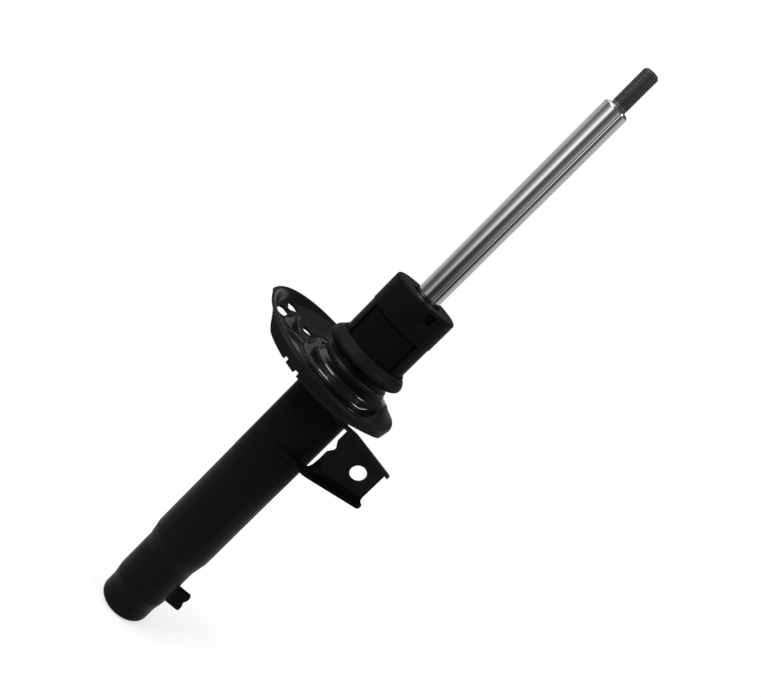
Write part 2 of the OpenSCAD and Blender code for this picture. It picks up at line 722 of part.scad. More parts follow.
// The sheet's radial section in its upper face, from the collar out to the skirt's lower edge
dome_rings = [for (d = DOME) dome_top_r + d[0] * dome_w];
function section(a) =
    let (dir = [cos(a), sin(a)],
         far = reach(a, rim_r),
         bank_foot = reach(a, bank_from(far * dir) * rim_r),
         foot = max(bank_foot, groove_r + (far - groove_r) * least_floor),
         crest = rim_z(far * dir),
         drop = skirt_drop(a),
         bend = drop < rim_bend_r ? acos(1 - drop / rim_bend_r) : 90,
         rest = max(drop - rim_bend_r, 0.3),
         lean = skirt_lean * smooth((far * dir.x / seat_r - 0.14) / 0.41))
    concat(
        [for (r = dome_rings) [r, pan_z(r * dir)]],
        [for (i = [0 : floor_steps]) let (r = groove_r + (foot - groove_r) * i / floor_steps)
            [r, pan_z(r * dir)]],
        [for (i = [1 : bank_steps - 1]) let (r = foot + (far - foot) * i / bank_steps)
            [r, pan_z(r * dir)]],
        [for (i = [0 : bend_steps]) let (q = bend * i / bend_steps)
            [far + rim_bend_r * sin(q), crest - rim_bend_r * (1 - cos(q))]],
        [[far + rim_bend_r * sin(bend) + rest * (cos(bend) - lean),
          crest - rim_bend_r * (1 - cos(bend)) - rest * sin(bend)]]
    );

// The lower face, one sheet thickness inside the upper one
function under(s) = [for (i = [0 : len(s) - 1])
    let (t = s[min(i + 1, len(s) - 1)] - s[max(i - 1, 0)], n = [t.y, -t.x] / norm(t)) s[i] + sheet_t * n];

// The steps are closer together round the pan's high end, where its bosses are
function pan_angle(k) =
    let (even = -180 + 360 * k / pan_steps, crowding = 17)
    even + crowding * sin(even);

module pan() {
    loops = [for (k = [0 : pan_steps - 1])
        let (a = pan_angle(k), s = section(a), u = under(s))
        [for (q = concat(s, [for (i = [len(u) - 1 : -1 : 0]) u[i]])) [q.x * cos(a), q.x * sin(a), q.y]]];
    n = len(loops[0]);
    polyhedron(
        points = [for (l = loops) for (p = l) p],
        faces = [for (k = [0 : pan_steps - 1]) for (i = [0 : n - 1])
            let (j = (i + 1) % n, here = k * n, next = ((k + 1) % pan_steps) * n)
            each [[here + i, here + j, next + j], [here + i, next + j, next + i]]],
        convexity = 6
    );
}

module long_hole(w, l, h) {
    translate([-w / 2, (w - l) / 2, 0]) cube([w, l - w, h]);
    for (side = [-1, 1]) translate([0, side * (l - w) / 2, 0]) cylinder(d = w, h = h, $fn = 32);
}

module spring_seat() {
    cut_h = 40;
    color([0.08, 0.08, 0.085]) rotate([0, 0, seat_turn]) difference() {
        pan();
        translate([DRAIN.x * seat_r, DRAIN.y * seat_r, seat_z - cut_h / 2])
            cylinder(d = drain_d, h = cut_h, $fn = 32);
        for (d = LONG_DRAINS) translate([d[0].x * seat_r, d[0].y * seat_r, seat_z - cut_h / 2])
            rotate([0, 0, d[1]]) long_hole(drain_slot_w, drain_slot_l, cut_h);
        for (a = NOTCHES) let (r = reach(a, rim_r), p = r * [cos(a), sin(a)])
            translate([p.x, p.y, rim_z(p) - skirt_drop(a) - notch_below]) rotate([0, 0, a])
                translate([-notch_inside, -notch_w / 2, 0])
                    cube([notch_inside + notch_outside, notch_w, notch_below + notch_depth]);
    }
}

module seat_weld() {
    color([0.06, 0.06, 0.065]) union() {
        rotate_extrude() polygon([
            [collar_r + fit, dome_under.y - 0.2], [collar_r + fit, dome_under.y - 0.2 - weld],
            dome_under + [1.1, -1.2], dome_under - [0, 0.2],
        ]);
        rotate_extrude() polygon([[tube_r + fit, collar_low - weld * 0.8], [collar_r, collar_low],
            [tube_r + fit, collar_low]]);
    }
}

// ---- link bracket: a channel folded from one sheet ----

// The flanges are level at the tube and close in on each other past their knees.
function lower_z(x) = bracket_z + bracket_slope * max(0, x - lower_knee);
function upper_z(x) = bracket_z + bracket_h - bracket_slope * max(0, x - upper_knee);

// A sheet bent once at its knee, cut to an outline in plan
module bent_sheet(outline, heights, t) {
    intersection() {
        translate([0, 0, bracket_z - bracket_h]) linear_extrude(height = 3 * bracket_h) polygon(outline);
        rotate([90, 0, 0]) translate([0, 0, -2 * bracket_l]) linear_extrude(height = 4 * bracket_l)
            polygon([for (h = heights) h, for (i = [len(heights) - 1 : -1 : 0]) heights[i] + [0, t]]);
    }
}

// The rounded inside of a bend of radius r, along X from x0 to x1
module bend_fillet(x0, x1, z0, slope, side, r) {
    bite = 0.3; // how deep it reaches into the sheet
    tilt = atan(slope);
    intersection() {
        translate([x0, -web_y - bracket_t / 2, z0]) rotate([0, -tilt, 0]) mirror([0, 0, side > 0 ? 0 : 1])
            translate([-r, 0, 0]) rotate([90, 0, 90]) linear_extrude(height = x1 - x0 + 3 * r)
                polygon(concat([[bite, -bite], [-r, -bite]], arc(-r, r, r, -72, -18, 3), [[bite, r]]));
        translate([x0, -2 * web_y, bracket_z]) cube([x1 - x0, 3 * web_y, bracket_h]);
    }
}

module link_bracket() {
    web_in = -web_y + bracket_t / 2;
    web_out = -web_y - bracket_t / 2;
    front = web_out - lower_flange;
    upper_front = web_out - end_flange + bracket_t;
    tube_side = sqrt(tube_r * tube_r - web_y * web_y);
    web_left = tube_side + web_gap;
    web_right = bracket_l + 1.2; // the lower flange's corner reaches past the web
    upper_right = bracket_l + 2;
    far = 2 * bracket_l;
    notch_r = 3.8;
    notch_side = 6.4; // half the length of web edge that the notch's slopes take
    gap_foot = 11; // height over which the gap narrows at its foot
    strip_z = upper_z(0) - web_strip;
    floor_z = bracket_z + bracket_t;
    dart_end = lower_knee + dart;
    color([0.085, 0.085, 0.09]) difference() {
        union() {
            // web, with the gap to the tube cut out of its left edge
            rotate([90, 0, 0]) translate([0, 0, -web_in]) linear_extrude(height = bracket_t)
                difference() {
                    polygon([for (x = [0, lower_knee, bracket_l]) [x, lower_z(x)],
                             for (x = [bracket_l, upper_knee, 0]) [x, upper_z(x)]]);
                    polygon(concat(
                        [[-1, floor_z], [web_left - 2, floor_z], [web_left - 0.6, floor_z + gap_foot / 3],
                         [web_left, floor_z + gap_foot], [web_left, web_notch_z - notch_side]],
                        arc(web_left - 0.3, web_notch_z, notch_r, -52, 52),
                        [[web_left, web_notch_z + notch_side], [web_left, strip_z - 1],
                         [web_left - 1, strip_z], [-1, strip_z]]));
                }
            bent_sheet([[-12, -tube_r + 5.5], [-8.8, -tube_r + 1], [-3, -tube_r - 0.6], [3.3, -tube_r - 1.4],
                        [9.8, front + 5], [16, front + 1.6], [21, front], [bracket_l - 2, front],
                        [web_right - 0.8, front + 0.8], [web_right, front + 3],
                        [bracket_l, web_out], [bracket_l, web_in], [0, web_in]],
                       [for (x = [-bracket_l, lower_knee, far]) [x, lower_z(x)]], bracket_t);
            bent_sheet([[0, -tube_r + 4], [8, web_out - 2], [20, web_out - upper_flange + bracket_t],
                        [bracket_l - 1, upper_front + 1], [upper_right, upper_front + 3],
                        [upper_right, web_out - 2], [bracket_l, web_in], [0, web_in]],
                       [for (x = [-bracket_l, upper_knee, far]) [x, upper_z(x) - bracket_t]], bracket_t);
            bend_fillet(lower_knee, bracket_l, lower_z(lower_knee) + bracket_t,
                        bracket_slope, 1, lower_bend_r);
            bend_fillet(upper_knee, bracket_l, upper_z(upper_knee) - bracket_t,
                        -bracket_slope, -1, upper_bend_r);
            bend_fillet(web_left, upper_knee, upper_z(0) - bracket_t, 0, -1, upper_bend_r);
            hull() for (end = [[web_left + 0.4, dart], [dart_end, lower_bend_r * 0.7]])
                translate([end.x, web_out, lower_z(end.x) + bracket_t])
                    rotate([90, 0, 90]) linear_extrude(height = 0.5)
                        polygon([[0.4, -0.4], [-end.y, -0.4], [0.4, end.y]]);
        }
        translate([0, 0, bracket_z - 10]) cylinder(r = tube_r + fit, h = bracket_h + 20);
        translate([link_hole_x, -web_y + bracket_t, link_hole_z]) rotate([90, 0, 0])
            cylinder(d = link_hole_d, h = 2 * bracket_t);
    }
}

module bracket_weld() {
    low = bracket_z - 0.1;
    top = bracket_z + bracket_h + 0.1;
    color([0.06, 0.06, 0.065]) union() {
        rotate([0, 0, -106]) rotate_extrude(angle = 47)
            polygon([[tube_r + fit, low - weld], [tube_r + fit, low], [tube_r + weld * 0.7, low]]);
        rotate([0, 0, -82]) rotate_extrude(angle = 22)
            polygon([[tube_r + fit, top + weld], [tube_r + weld * 0.7, top], [tube_r + fit, top]]);
    }
}

// ---- locating tab ----

module locating_tab() {
    corner = 2;
    notch_r = 5;
    color([0.07, 0.07, 0.075]) difference() {
        translate([0, tab_t / 2, tab_z]) rotate([90, 0, 0]) linear_extrude(height = tab_t)
            difference() {
                polygon([[clamp_r - 2, 0], [tab_reach - corner, 0], [tab_reach, corner],
                         [tab_reach, tab_h - corner], [tab_reach - corner, tab_h], [clamp_r - 2, tab_h]]);
                translate([tab_reach + notch_r - tab_notch, tab_h / 2]) circle(r = notch_r, $fn = 48);
            }
        translate([0, 0, tab_z - 1]) cylinder(r = clamp_r + fit, h = tab_h + 2);
    }
}

module tab_weld() {
    leg = weld * 0.7;
    color([0.06, 0.06, 0.065]) difference() {
        for (side = [0, 1]) mirror([0, side, 0]) translate([0, 0, tab_z + 1])
            linear_extrude(height = tab_h - 2)
                polygon([[clamp_r - 2, tab_t / 2 + small], [clamp_r + leg, tab_t / 2 + small],
                         [clamp_r - 2, tab_t / 2 + leg + 1.5]]);
        translate([0, 0, tab_z]) cylinder(r = clamp_r + fit, h = tab_h);
    }
}

outer_tube();
base_cup();
base_valve_body();
base_valve_discs();
base_check_plate();
base_check_spring();
base_valve_pin();
pressure_tube();
piston_rod();
rebound_stop();
rebound_bumper();
piston();
piston_ring();
piston_discs();
piston_check_plate();
piston_check_spring();
piston_check_guide();
piston_nut();
rod_guide();
guide_bush();
rod_seal();
seal_spring();
retaining_plate();
bump_cap();
boot_ring();
seat_collar();
spring_seat();
seat_weld();
link_bracket();
bracket_weld();
locating_tab();
tab_weld();
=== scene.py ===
import math

import bmesh
import bpy
from mathutils import Matrix, Vector


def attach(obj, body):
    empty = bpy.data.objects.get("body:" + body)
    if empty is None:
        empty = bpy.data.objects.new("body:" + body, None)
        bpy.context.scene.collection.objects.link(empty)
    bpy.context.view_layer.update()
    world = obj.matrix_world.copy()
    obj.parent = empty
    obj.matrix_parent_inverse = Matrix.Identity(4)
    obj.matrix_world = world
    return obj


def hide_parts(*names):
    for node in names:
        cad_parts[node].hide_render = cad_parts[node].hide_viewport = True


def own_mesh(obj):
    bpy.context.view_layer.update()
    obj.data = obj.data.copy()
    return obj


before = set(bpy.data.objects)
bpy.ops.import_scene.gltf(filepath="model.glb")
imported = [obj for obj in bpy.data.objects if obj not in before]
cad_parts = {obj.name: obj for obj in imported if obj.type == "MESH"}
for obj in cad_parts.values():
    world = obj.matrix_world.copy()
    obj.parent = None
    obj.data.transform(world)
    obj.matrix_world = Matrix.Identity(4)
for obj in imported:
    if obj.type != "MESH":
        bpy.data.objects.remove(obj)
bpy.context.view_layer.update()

MM = 0.001
TURN = 2 * math.pi
SMOOTH_BELOW = math.radians(32)

# Heights and radii of the part, in millimetres, as in its source
FIT = 0.05
TUBE_R = 27.5
TUBE_TOP = 373.5
CLAMP_R = 25.0
CAP_TOP = 375.9
ROD_R = 11.0
SHOULDER_Z = 573.9
ROD_LOW = 229.0
SHOULDER_LOW = 267.4
SPIGOT_R = 6.0
STUD_R = 7.0
STUD_H = 34.5
STUD_NECK_R = 6.6
STUD_NECK_H = 2.8


# ---- shader nodes ----

def add_node(tree, kind, inputs=(), **settings):
    """Adds a shader node and returns its outputs. Its inputs are values or other nodes' outputs."""
    node = tree.nodes.new("ShaderNode" + kind)
    for setting, value in settings.items():
        setattr(node, setting, value)
    for socket, value in inputs.items() if isinstance(inputs, dict) else enumerate(inputs):
        if isinstance(value, bpy.types.NodeSocket):
            tree.links.new(value, node.inputs[socket])
        else:
            node.inputs[socket].default_value = value
    return node.outputs


def combined(tree, operation, *values):
    return add_node(tree, "Math", values, operation=operation)["Value"]


def ranged(tree, value, from_low, from_high, low=0.0, high=1.0):
    """Spreads from_low to from_high over low to high, and stays at these ends beyond them."""
    return add_node(tree, "MapRange", (value, from_low, from_high, low, high))["Result"]


def grey(level):
    return (level, level, level, 1)


def ramped(tree, value, stops, interpolation="LINEAR"):
    """A colour ramp whose stops are places from 0 to 1, each with a grey or a colour."""
    colour = add_node(tree, "ValToRGB", [value])["Color"]
    ramp = colour.node.color_ramp
    ramp.interpolation = interpolation
    for i, (at, tone) in enumerate(stops):
        stop = ramp.elements[i] if i < 2 else ramp.elements.new(at)
        stop.position = at
        stop.color = (*tone, 1) if isinstance(tone, tuple) else grey(tone)
    return colour


# ---- materials ----

# Between these two, noise has most of its values
NOISE_LOW = 0.3
NOISE_HIGH = 0.7


class Finish:
    """One procedural finish: a Principled shader and the textures that feed it."""

    def __init__(self, name, **sockets):
        self.material = bpy.data.materials.new(name)
        self.material.use_nodes = True
        self.tree = self.material.node_tree
        self.shader = self.tree.nodes["Principled BSDF"]
        self.place = add_node(self.tree, "TexCoord")["Object"]
        self.bumped = None
        for socket, value in sockets.items():
            self.shader.inputs[socket.replace("_", " ")].default_value = value

    def stretched(self, x, y, z):
        return add_node(self.tree, "Mapping", {"Vector": self.place, "Scale": (x, y, z)})["Vector"]

    def noise(self, size, detail=2.0, roughness=0.5, place=None):
        """Noise whose grains are about size millimetres wide."""
        inputs = {"Vector": place or self.place, "Scale": 1 / (size * MM), "Detail": detail,
                  "Roughness": roughness}
        return add_node(self.tree, "TexNoise", inputs)["Fac"]

    def feed(self, socket, value):
        self.tree.links.new(value, self.shader.inputs[socket])
        return self

    def shades(self, value, *stops):
        return self.feed("Base Color", ramped(self.tree, value, stops))

    def dull(self, value, low, high):
        return self.feed("Roughness", ranged(self.tree, value, NOISE_LOW, NOISE_HIGH, low, high))

    def relief(self, value, height):
        """Relief of that height in millimetres; several add up."""
        inputs = {"Height": value, "Distance": height * MM, "Strength": 1.0}
        if self.bumped:
            inputs["Normal"] = self.bumped
        self.bumped = add_node(self.tree, "Bump", inputs)["Normal"]
        return self.feed("Normal", self.bumped)


def black_paint(name, base, peel, dull, shine):
    """Stoved black paint: slight orange peel, uneven gloss and a little dust."""
    paint = Finish(name, IOR=1.5, Specular_IOR_Level=shine)
    paint.shades(paint.noise(0.5, 3, 0.7), (0.45, base * 0.85), (0.78, base * 1.9))
    paint.dull(paint.noise(18, 4, 0.6), *dull)
    paint.relief(paint.noise(2.2, 2, 0.5), peel)
    return paint.relief(paint.noise(0.35, 2, 0.6), peel * 0.15)


def bare_metal(name, colour, dull, grain=0.25):
    metal = Finish(name, Metallic=1.0)
    marks = metal.noise(grain, 3, 0.6, metal.stretched(0.25, 0.25, 3))
    metal.shades(metal.noise(6, 3), (0.3, tuple(c * 0.85 for c in colour)), (0.75, colour))
    metal.dull(marks, *dull)
    return metal.relief(marks, 0.006)


def chrome_finish():
    chrome = Finish("rod_chrome", Metallic=1.0)
    rings = chrome.noise(0.5, 3, 0.55, chrome.stretched(0.02, 0.02, 1))
    chrome.shades(chrome.noise(30, 2), (0.3, (0.60, 0.605, 0.615)), (0.7, (0.66, 0.665, 0.675)))
    chrome.dull(rings, 0.02, 0.045)
    return chrome.relief(rings, 0.0003).relief(chrome.noise(24, 1), 0.006)


def dark_steel_finish():
    """Blackened steel, as on a phosphated thread."""
    steel = Finish("blackened_steel", Metallic=0.7, Specular_IOR_Level=0.5)
    spots = steel.noise(0.6, 4, 0.65)
    steel.shades(spots, (0.3, 0.07), (0.7, 0.11))
    steel.dull(spots, 0.4, 0.55)
    return steel.relief(spots, 0.012)


def plastic_finish():
    plastic = Finish("cap_plastic", IOR=1.46, Specular_IOR_Level=0.06)
    grain = plastic.noise(0.4, 2, 0.5)
    plastic.shades(plastic.noise(12, 3), (0.3, 0.0038), (0.7, 0.0050))
    plastic.dull(grain, 0.42, 0.6)
    return plastic.relief(grain, 0.012)


def rubber_finish(name, low, high):
    rubber = Finish(name, IOR=1.5, Specular_IOR_Level=0.25)
    grain = rubber.noise(0.5, 3, 0.6)
    rubber.shades(rubber.noise(8, 3), (0.3, low), (0.7, high))
    rubber.dull(grain, 0.5, 0.75)
    return rubber.relief(grain, 0.015)


TUBE_PAINT = black_paint("tube_paint", base=0.0046, peel=0.010, dull=(0.34, 0.42), shine=0.03)
SEAT_PAINT = black_paint("seat_paint", base=0.0030, peel=0.003, dull=(0.14, 0.20), shine=0.45)
RING_PAINT = black_paint("ring_paint", base=0.0052, peel=0.012, dull=(0.50, 0.60), shine=0.10)
SKIRT_PAINT = black_paint("skirt_paint", base=0.0054, peel=0.010, dull=(0.42, 0.52), shine=0.12)
# The collar's paint is darker than the ring's: painted shade, for the shadow that the bead ring
# casts on the neck
NECK_SHADE_PAINT = black_paint("neck_painted_shade", base=0.0033, peel=0.012, dull=(0.40, 0.50), shine=0.2)
# A lighter copy of the black paint for the bracket's web: painted light, which makes up for the
# shade that the pan casts on it
BRACKET_LIT_PAINT = black_paint("bracket_paint", base=0.0105, peel=0.012, dull=(0.34, 0.42),
                            shine=0.035)
# A darker copy of the bracket's paint: painted shade on the lower fold, which faces down, and on
# the tab
FOLD_SHADE_PAINT = black_paint("fold_painted_shade", base=0.0030, peel=0.012, dull=(0.34, 0.42), shine=0.035)
WELD_PAINT = black_paint("weld_paint", base=0.0022, peel=0.030, dull=(0.25, 0.35), shine=0.06)
CAP_PLASTIC = plastic_finish()
ROD_CHROME = chrome_finish()
DARK_STEEL = dark_steel_finish()
BARE_STEEL = bare_metal("bare_steel", (0.45, 0.45, 0.47), dull=(0.25, 0.4))
SPRING_STEEL = bare_metal("spring_steel", (0.22, 0.23, 0.27), dull=(0.3, 0.45))
SINTERED_IRON = bare_metal("sintered_iron", (0.22, 0.22, 0.23), dull=(0.5, 0.7), grain=0.6)
BEARING_BRONZE = bare_metal("bearing_bronze", (0.55, 0.38, 0.2), dull=(0.3, 0.45))
RING_POLYMER = rubber_finish("ring_polymer", (0.42, 0.36, 0.24), (0.5, 0.44, 0.3))
SEAL_RUBBER = rubber_finish("seal_rubber", 0.01, 0.02)
BUMPER_RUBBER = rubber_finish("bumper_rubber", (0.10, 0.06, 0.03), (0.15, 0.09, 0.05))

NODE_FINISHES = {
    TUBE_PAINT: ["outer_tube", "locating_tab", "base_cup"],
    SEAT_PAINT: ["spring_seat"],
    NECK_SHADE_PAINT: ["seat_collar"],
    RING_PAINT: ["boot_ring"],
    BRACKET_LIT_PAINT: ["link_bracket"],
    WELD_PAINT: ["seat_weld", "bracket_weld", "tab_weld"],
    CAP_PLASTIC: ["bump_cap"],
    ROD_CHROME: ["piston_rod"],
    BARE_STEEL: ["base_valve_pin", "pressure_tube", "rebound_stop", "piston_check_guide",
                 "piston_nut", "retaining_plate"],
    SPRING_STEEL: ["base_valve_discs", "base_check_plate", "base_check_spring", "piston_discs",
                   "piston_check_plate", "piston_check_spring", "seal_spring"],
    SINTERED_IRON: ["base_valve_body", "piston", "rod_guide"],
    BEARING_BRONZE: ["guide_bush"],
    RING_POLYMER: ["piston_ring"],
    SEAL_RUBBER: ["rod_seal"],
    BUMPER_RUBBER: ["rebound_bumper"],
}
for finish, names in NODE_FINISHES.items():
    for name in names:
        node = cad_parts[name]
        node.data.materials.clear()
        node.data.materials.append(finish.material)


# ---- making pieces ----

def new_mesh(name, bm):
    """Moves a bmesh into a mesh of that name."""
    mesh = bpy.data.meshes.new(name)
    bm.to_mesh(mesh)
    bm.free()
    return mesh


def new_object(name, data):
    made = bpy.data.objects.new(name, data)
    bpy.context.scene.collection.objects.link(made)
    return made


def piece(name, bm, finishes, body, replaced):
    """Turns a finished bmesh in millimetres into a piece of the part, in metres."""
    bmesh.ops.recalc_face_normals(bm, faces=bm.faces)
    bmesh.ops.scale(bm, vec=(MM, MM, MM), verts=bm.verts)
    mesh = new_mesh(name, bm)
    mesh.shade_smooth()
    mesh.set_sharp_from_angle(angle=SMOOTH_BELOW)
    for finish in finishes:
        mesh.materials.append(finish.material)
    made = new_object(name, mesh)
    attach(made, body)
    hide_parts(*replaced)
    return made


def arc(middle, radius, degrees):
    """Points at those angles on a circle, or on an ellipse where radius is a pair."""
    wide, high = radius if isinstance(radius, tuple) else (radius, radius)
    return [(middle[0] + wide * math.cos(a), middle[1] + high * math.sin(a))
            for a in map(math.radians, degrees)]


def eased(points, steps=5):
    """A closed outline whose points may carry a third number, the radius that rounds the corner."""
    line = []
    count = len(points)
    for i, point in enumerate(points):
        corner = Vector(point[:2])
        r = point[2] if len(point) > 2 else 0
        if not r:
            line.append(tuple(corner))
            continue
        back = (Vector(points[i - 1][:2]) - corner).normalized()
        on = (Vector(points[(i + 1) % count][:2]) - corner).normalized()
        half = back.angle(on) / 2
        away = r / math.tan(half)
        start, end = corner + back * away, corner + on * away
        middle = corner + (back + on).normalized() * (r / math.sin(half))
        for k in range(steps + 1):
            spoke = (start - middle).slerp(end - middle, k / steps).normalized()
            line.append(tuple(middle + spoke * r))
    return line


LONG_STRETCH = 3.0
HELD_NEAR = 0.4


def held(line):
    """Adds a point near both ends of each long stretch, which keeps flat walls flat in shading."""
    points = [line[0]]
    for start, end in zip(line, line[1:]):
        a, b = Vector(start), Vector(end)
        if (b - a).length > LONG_STRETCH:
            step = (b - a).normalized() * HELD_NEAR
            points += [tuple(a + step), tuple(b - step)]
        points.append(end)
    return points


def turned(bm, profile, steps):
    """Spins a line of (radius, height) points round the Z axis."""
    line = [bm.verts.new((r, 0, z)) for r, z in held(profile)]
    edges = [bm.edges.new(pair) for pair in zip(line, line[1:])]
    bmesh.ops.spin(bm, geom=line + edges, cent=(0, 0, 0), axis=(0, 0, 1), angle=TURN, steps=steps,
                   use_merge=True)
    bmesh.ops.remove_doubles(bm, verts=bm.verts, dist=0.001)


def turned_ring(profile, steps):
    bm = bmesh.new()
    turned(bm, profile + profile[:1], steps)
    return bm


def prism(outline, along, low, high):
    """An outline stood up along axis 'x', 'y' or 'z' from low to high."""
    order = {"x": (2, 0, 1), "y": (0, 2, 1), "z": (0, 1, 2)}[along]

    def place(*spot):
        return [spot[i] for i in order]

    bm = bmesh.new()
    face = bm.faces.new([bm.verts.new(place(x, y, low)) for x, y in outline])
    grown = bmesh.ops.extrude_face_region(bm, geom=[face])["geom"]
    top = [g for g in grown if isinstance(g, bmesh.types.BMVert)]
    bmesh.ops.translate(bm, vec=place(0, 0, high - low), verts=top)
    bmesh.ops.recalc_face_normals(bm, faces=bm.faces)
    return bm


def skin(bm, near, far):
    """Faces between two closed rings of points."""
    for i in range(len(near)):
        j = (i + 1) % len(near)
        bm.faces.new((near[i], near[j], far[j], far[i]))


def lofted(sections):
    """A closed skin through rings of points that all have the same count."""
    bm = bmesh.new()
    rings = [[bm.verts.new(p) for p in section] for section in sections]
    for near, far in zip(rings, rings[1:]):
        skin(bm, near, far)
    bm.faces.new(rings[0])
    bm.faces.new(rings[-1])
    bmesh.ops.recalc_face_normals(bm, faces=bm.faces)
    return bm


def join(bm, other):
    """Adds another bmesh to this one."""
    mesh = new_mesh("joined", other)
    bm.from_mesh(mesh)
    bpy.data.meshes.remove(mesh)


def turn_round(bm, degrees):
    """Turns a bmesh round the Z axis."""
    turn = Matrix.Rotation(math.radians(degrees), 3, "Z")
    bmesh.ops.rotate(bm, cent=(0, 0, 0), matrix=turn, verts=bm.verts)
    return bm


def open_edges(bm):
    return [edge for edge in bm.edges if edge.is_boundary]


def merge_close(bm, within=0.0004):
    """Merges points that lie within that of each other, and drops faces left without area."""
    bmesh.ops.remove_doubles(bm, verts=bm.verts, dist=within)
    bmesh.ops.dissolve_degenerate(bm, edges=bm.edges, dist=within / 10)


def cut(bm, *cutters):
    """Takes the cutters' shapes out of a closed bmesh."""
    bmesh.ops.recalc_face_normals(bm, faces=bm.faces)
    blank = new_object("blank", new_mesh("blank", bm))
    tools = [new_object("cutter", new_mesh("cutter", cutter)) for cutter in cutters]
    for tool in tools:
        step = blank.modifiers.new("cut", "BOOLEAN")
        step.operation = "DIFFERENCE"
        step.solver = "EXACT"
        step.object = tool
    bpy.context.view_layer.update()
    seen = blank.evaluated_get(bpy.context.evaluated_depsgraph_get())
    result = bmesh.new()
    result.from_mesh(seen.to_mesh())
    seen.to_mesh_clear()
    for spare in [blank, *tools]:
        mesh = spare.data
        bpy.data.objects.remove(spare)
        bpy.data.meshes.remove(mesh)
    return result


def break_edges(bm, width, above=38):
    """Rounds every edge where the faces turn by more than that angle."""
    bmesh.ops.recalc_face_normals(bm, faces=bm.faces)
    sharp = [edge for edge in bm.edges
             if len(edge.link_faces) == 2 and edge.calc_face_angle(0) > math.radians(above)]
    bmesh.ops.bevel(bm, geom=sharp, offset=width, offset_type="OFFSET", segments=2, profile=0.5,
                    affect="EDGES", clamp_overlap=True, material=-1)


BEAD_R = 1.5
BEAD_RIPPLE = 1.7
BEAD_SIDES = 12


def lined_up(ring, last):
    """Starts a ring of points at the one that leaves it least twisted against the last ring."""
    starts = [ring[shift:] + ring[:shift] for shift in range(len(ring))]
    return min(starts, key=lambda points: sum((p - q).length for p, q in zip(points, last)))


def weld_bead(bm, path, size):
    """A bead laid along a path of points, with the ripples of the pool and rounded ends."""
    points = [Vector(point) for point in path]
    around = [TURN * k / BEAD_SIDES for k in range(BEAD_SIDES)]
    total = sum((b - a).length for a, b in zip(points, points[1:]))
    length = 0
    rings = []
    for i, here in enumerate(points):
        before, after = points[max(i - 1, 0)], points[min(i + 1, len(points) - 1)]
        length += (here - before).length
        wave = (length / BEAD_RIPPLE) % 1
        swell = 1 + 0.12 * (1 - wave) ** 2 - 0.06
        end = min(length, total - length) / size
        girth = size * swell * math.sqrt(max(0.02, 1 - (1 - min(end, 1)) ** 2))
        ahead = (after - before).normalized()
        side = ahead.orthogonal().normalized()
        other = ahead.cross(side)
        ring = [here + (side * math.cos(a) + other * math.sin(a)) * girth for a in around]
        rings.append(lined_up(ring, rings[-1]) if rings else ring)
    join(bm, lofted(rings))


def round_path(r, z, start=0, end=360, steps=300):
    """Points along a level arc round the Z axis."""
    turns = [start + (end - start) * k / steps for k in range(steps + 1)]
    return [(x, y, z) for x, y in arc((0, 0), r, turns)]


# ---- tube ----

TUBE_STEPS = 192
# Radius and height, and the radius of the bend there
TUBE_OUTSIDE = [(18.75, 0), (23.25, 0, 5.4), (23.25, 17, 5), (25, 28, 5), (25, 67, 9),
                (27.5, 82, 12), (27.5, TUBE_TOP, 2)]
TUBE_INSIDE = [(21, TUBE_TOP), (21, TUBE_TOP - 2), (25, TUBE_TOP - 2), (25, 82), (22.5, 67),
               (22.5, 28), (20.75, 17), (20.75, 5.5, 2), (15.75, 2.5), (15.75, 0, 0.8)]


def tube_body():
    bm = turned_ring(eased(TUBE_OUTSIDE + TUBE_INSIDE, steps=7), TUBE_STEPS)
    return piece("tube_body", bm, [TUBE_PAINT], "barrel", ["outer_tube"])


# ---- bump cap ----

CAP_BORE = TUBE_R + 0.3
CAP_R = CAP_BORE + 2
CAP_HOLE_R = ROD_R + 2.2
BAND_R = CAP_R + 0.6
BAND_LOW = CAP_TOP - 27.9
BAND_FOOT = BAND_LOW - 0.6
COLLAR_TOP = 314.8
CAP_STEPS = 180
WINDOWS_AT = (-105, 75)
WINDOW_WIDE = 102.6
WINDOW_STEPS = 24
SLOTS_AT = (-75, 105)
SLOT_W = 8.6
SLOT_TOP = CAP_TOP - 2.6
SLOT_LOW = SLOT_TOP - 8.4


def cap_window(turn):
    """A sector that opens the cap's wall from its foot up to the band."""
    turns = [turn + WINDOW_WIDE * (k / WINDOW_STEPS - 0.5) for k in range(WINDOW_STEPS + 1)]
    outline = arc((0, 0), BAND_R + 1, turns) + arc((0, 0), CAP_BORE - 1, reversed(turns))
    return prism(outline, "z", COLLAR_TOP - 1, BAND_FOOT)


def cap_slot(turn):
    half = SLOT_W / 2
    outline = [(-half, SLOT_LOW), (half, SLOT_LOW), (half, SLOT_TOP), (-half, SLOT_TOP)]
    return turn_round(prism(outline, "x", CAP_BORE - 1, BAND_R + 2), turn)


def bump_cap():
    profile = [(CAP_BORE, COLLAR_TOP), (CAP_R, COLLAR_TOP), (CAP_R, BAND_FOOT, 0.4),
               (BAND_R, BAND_LOW, 0.4), (BAND_R, CAP_TOP, 2.2), (CAP_HOLE_R, CAP_TOP, 0.8),
               (CAP_HOLE_R, TUBE_TOP), (CAP_BORE, TUBE_TOP)]
    openings = [cap_window(turn) for turn in WINDOWS_AT] + [cap_slot(turn) for turn in SLOTS_AT]
    bm = cut(turned_ring(eased(profile), CAP_STEPS), *openings)
    break_edges(bm, 0.35)
    merge_close(bm)
    return piece("cap_moulding", bm, [CAP_PLASTIC], "barrel", ["bump_cap"])


# ---- bead ring and collar ----

COLLAR_R = TUBE_R + 1.7
RING_WIDEST = COLLAR_TOP - 7.2
RING_REACH = 7.7
RING_FALL = 4.8


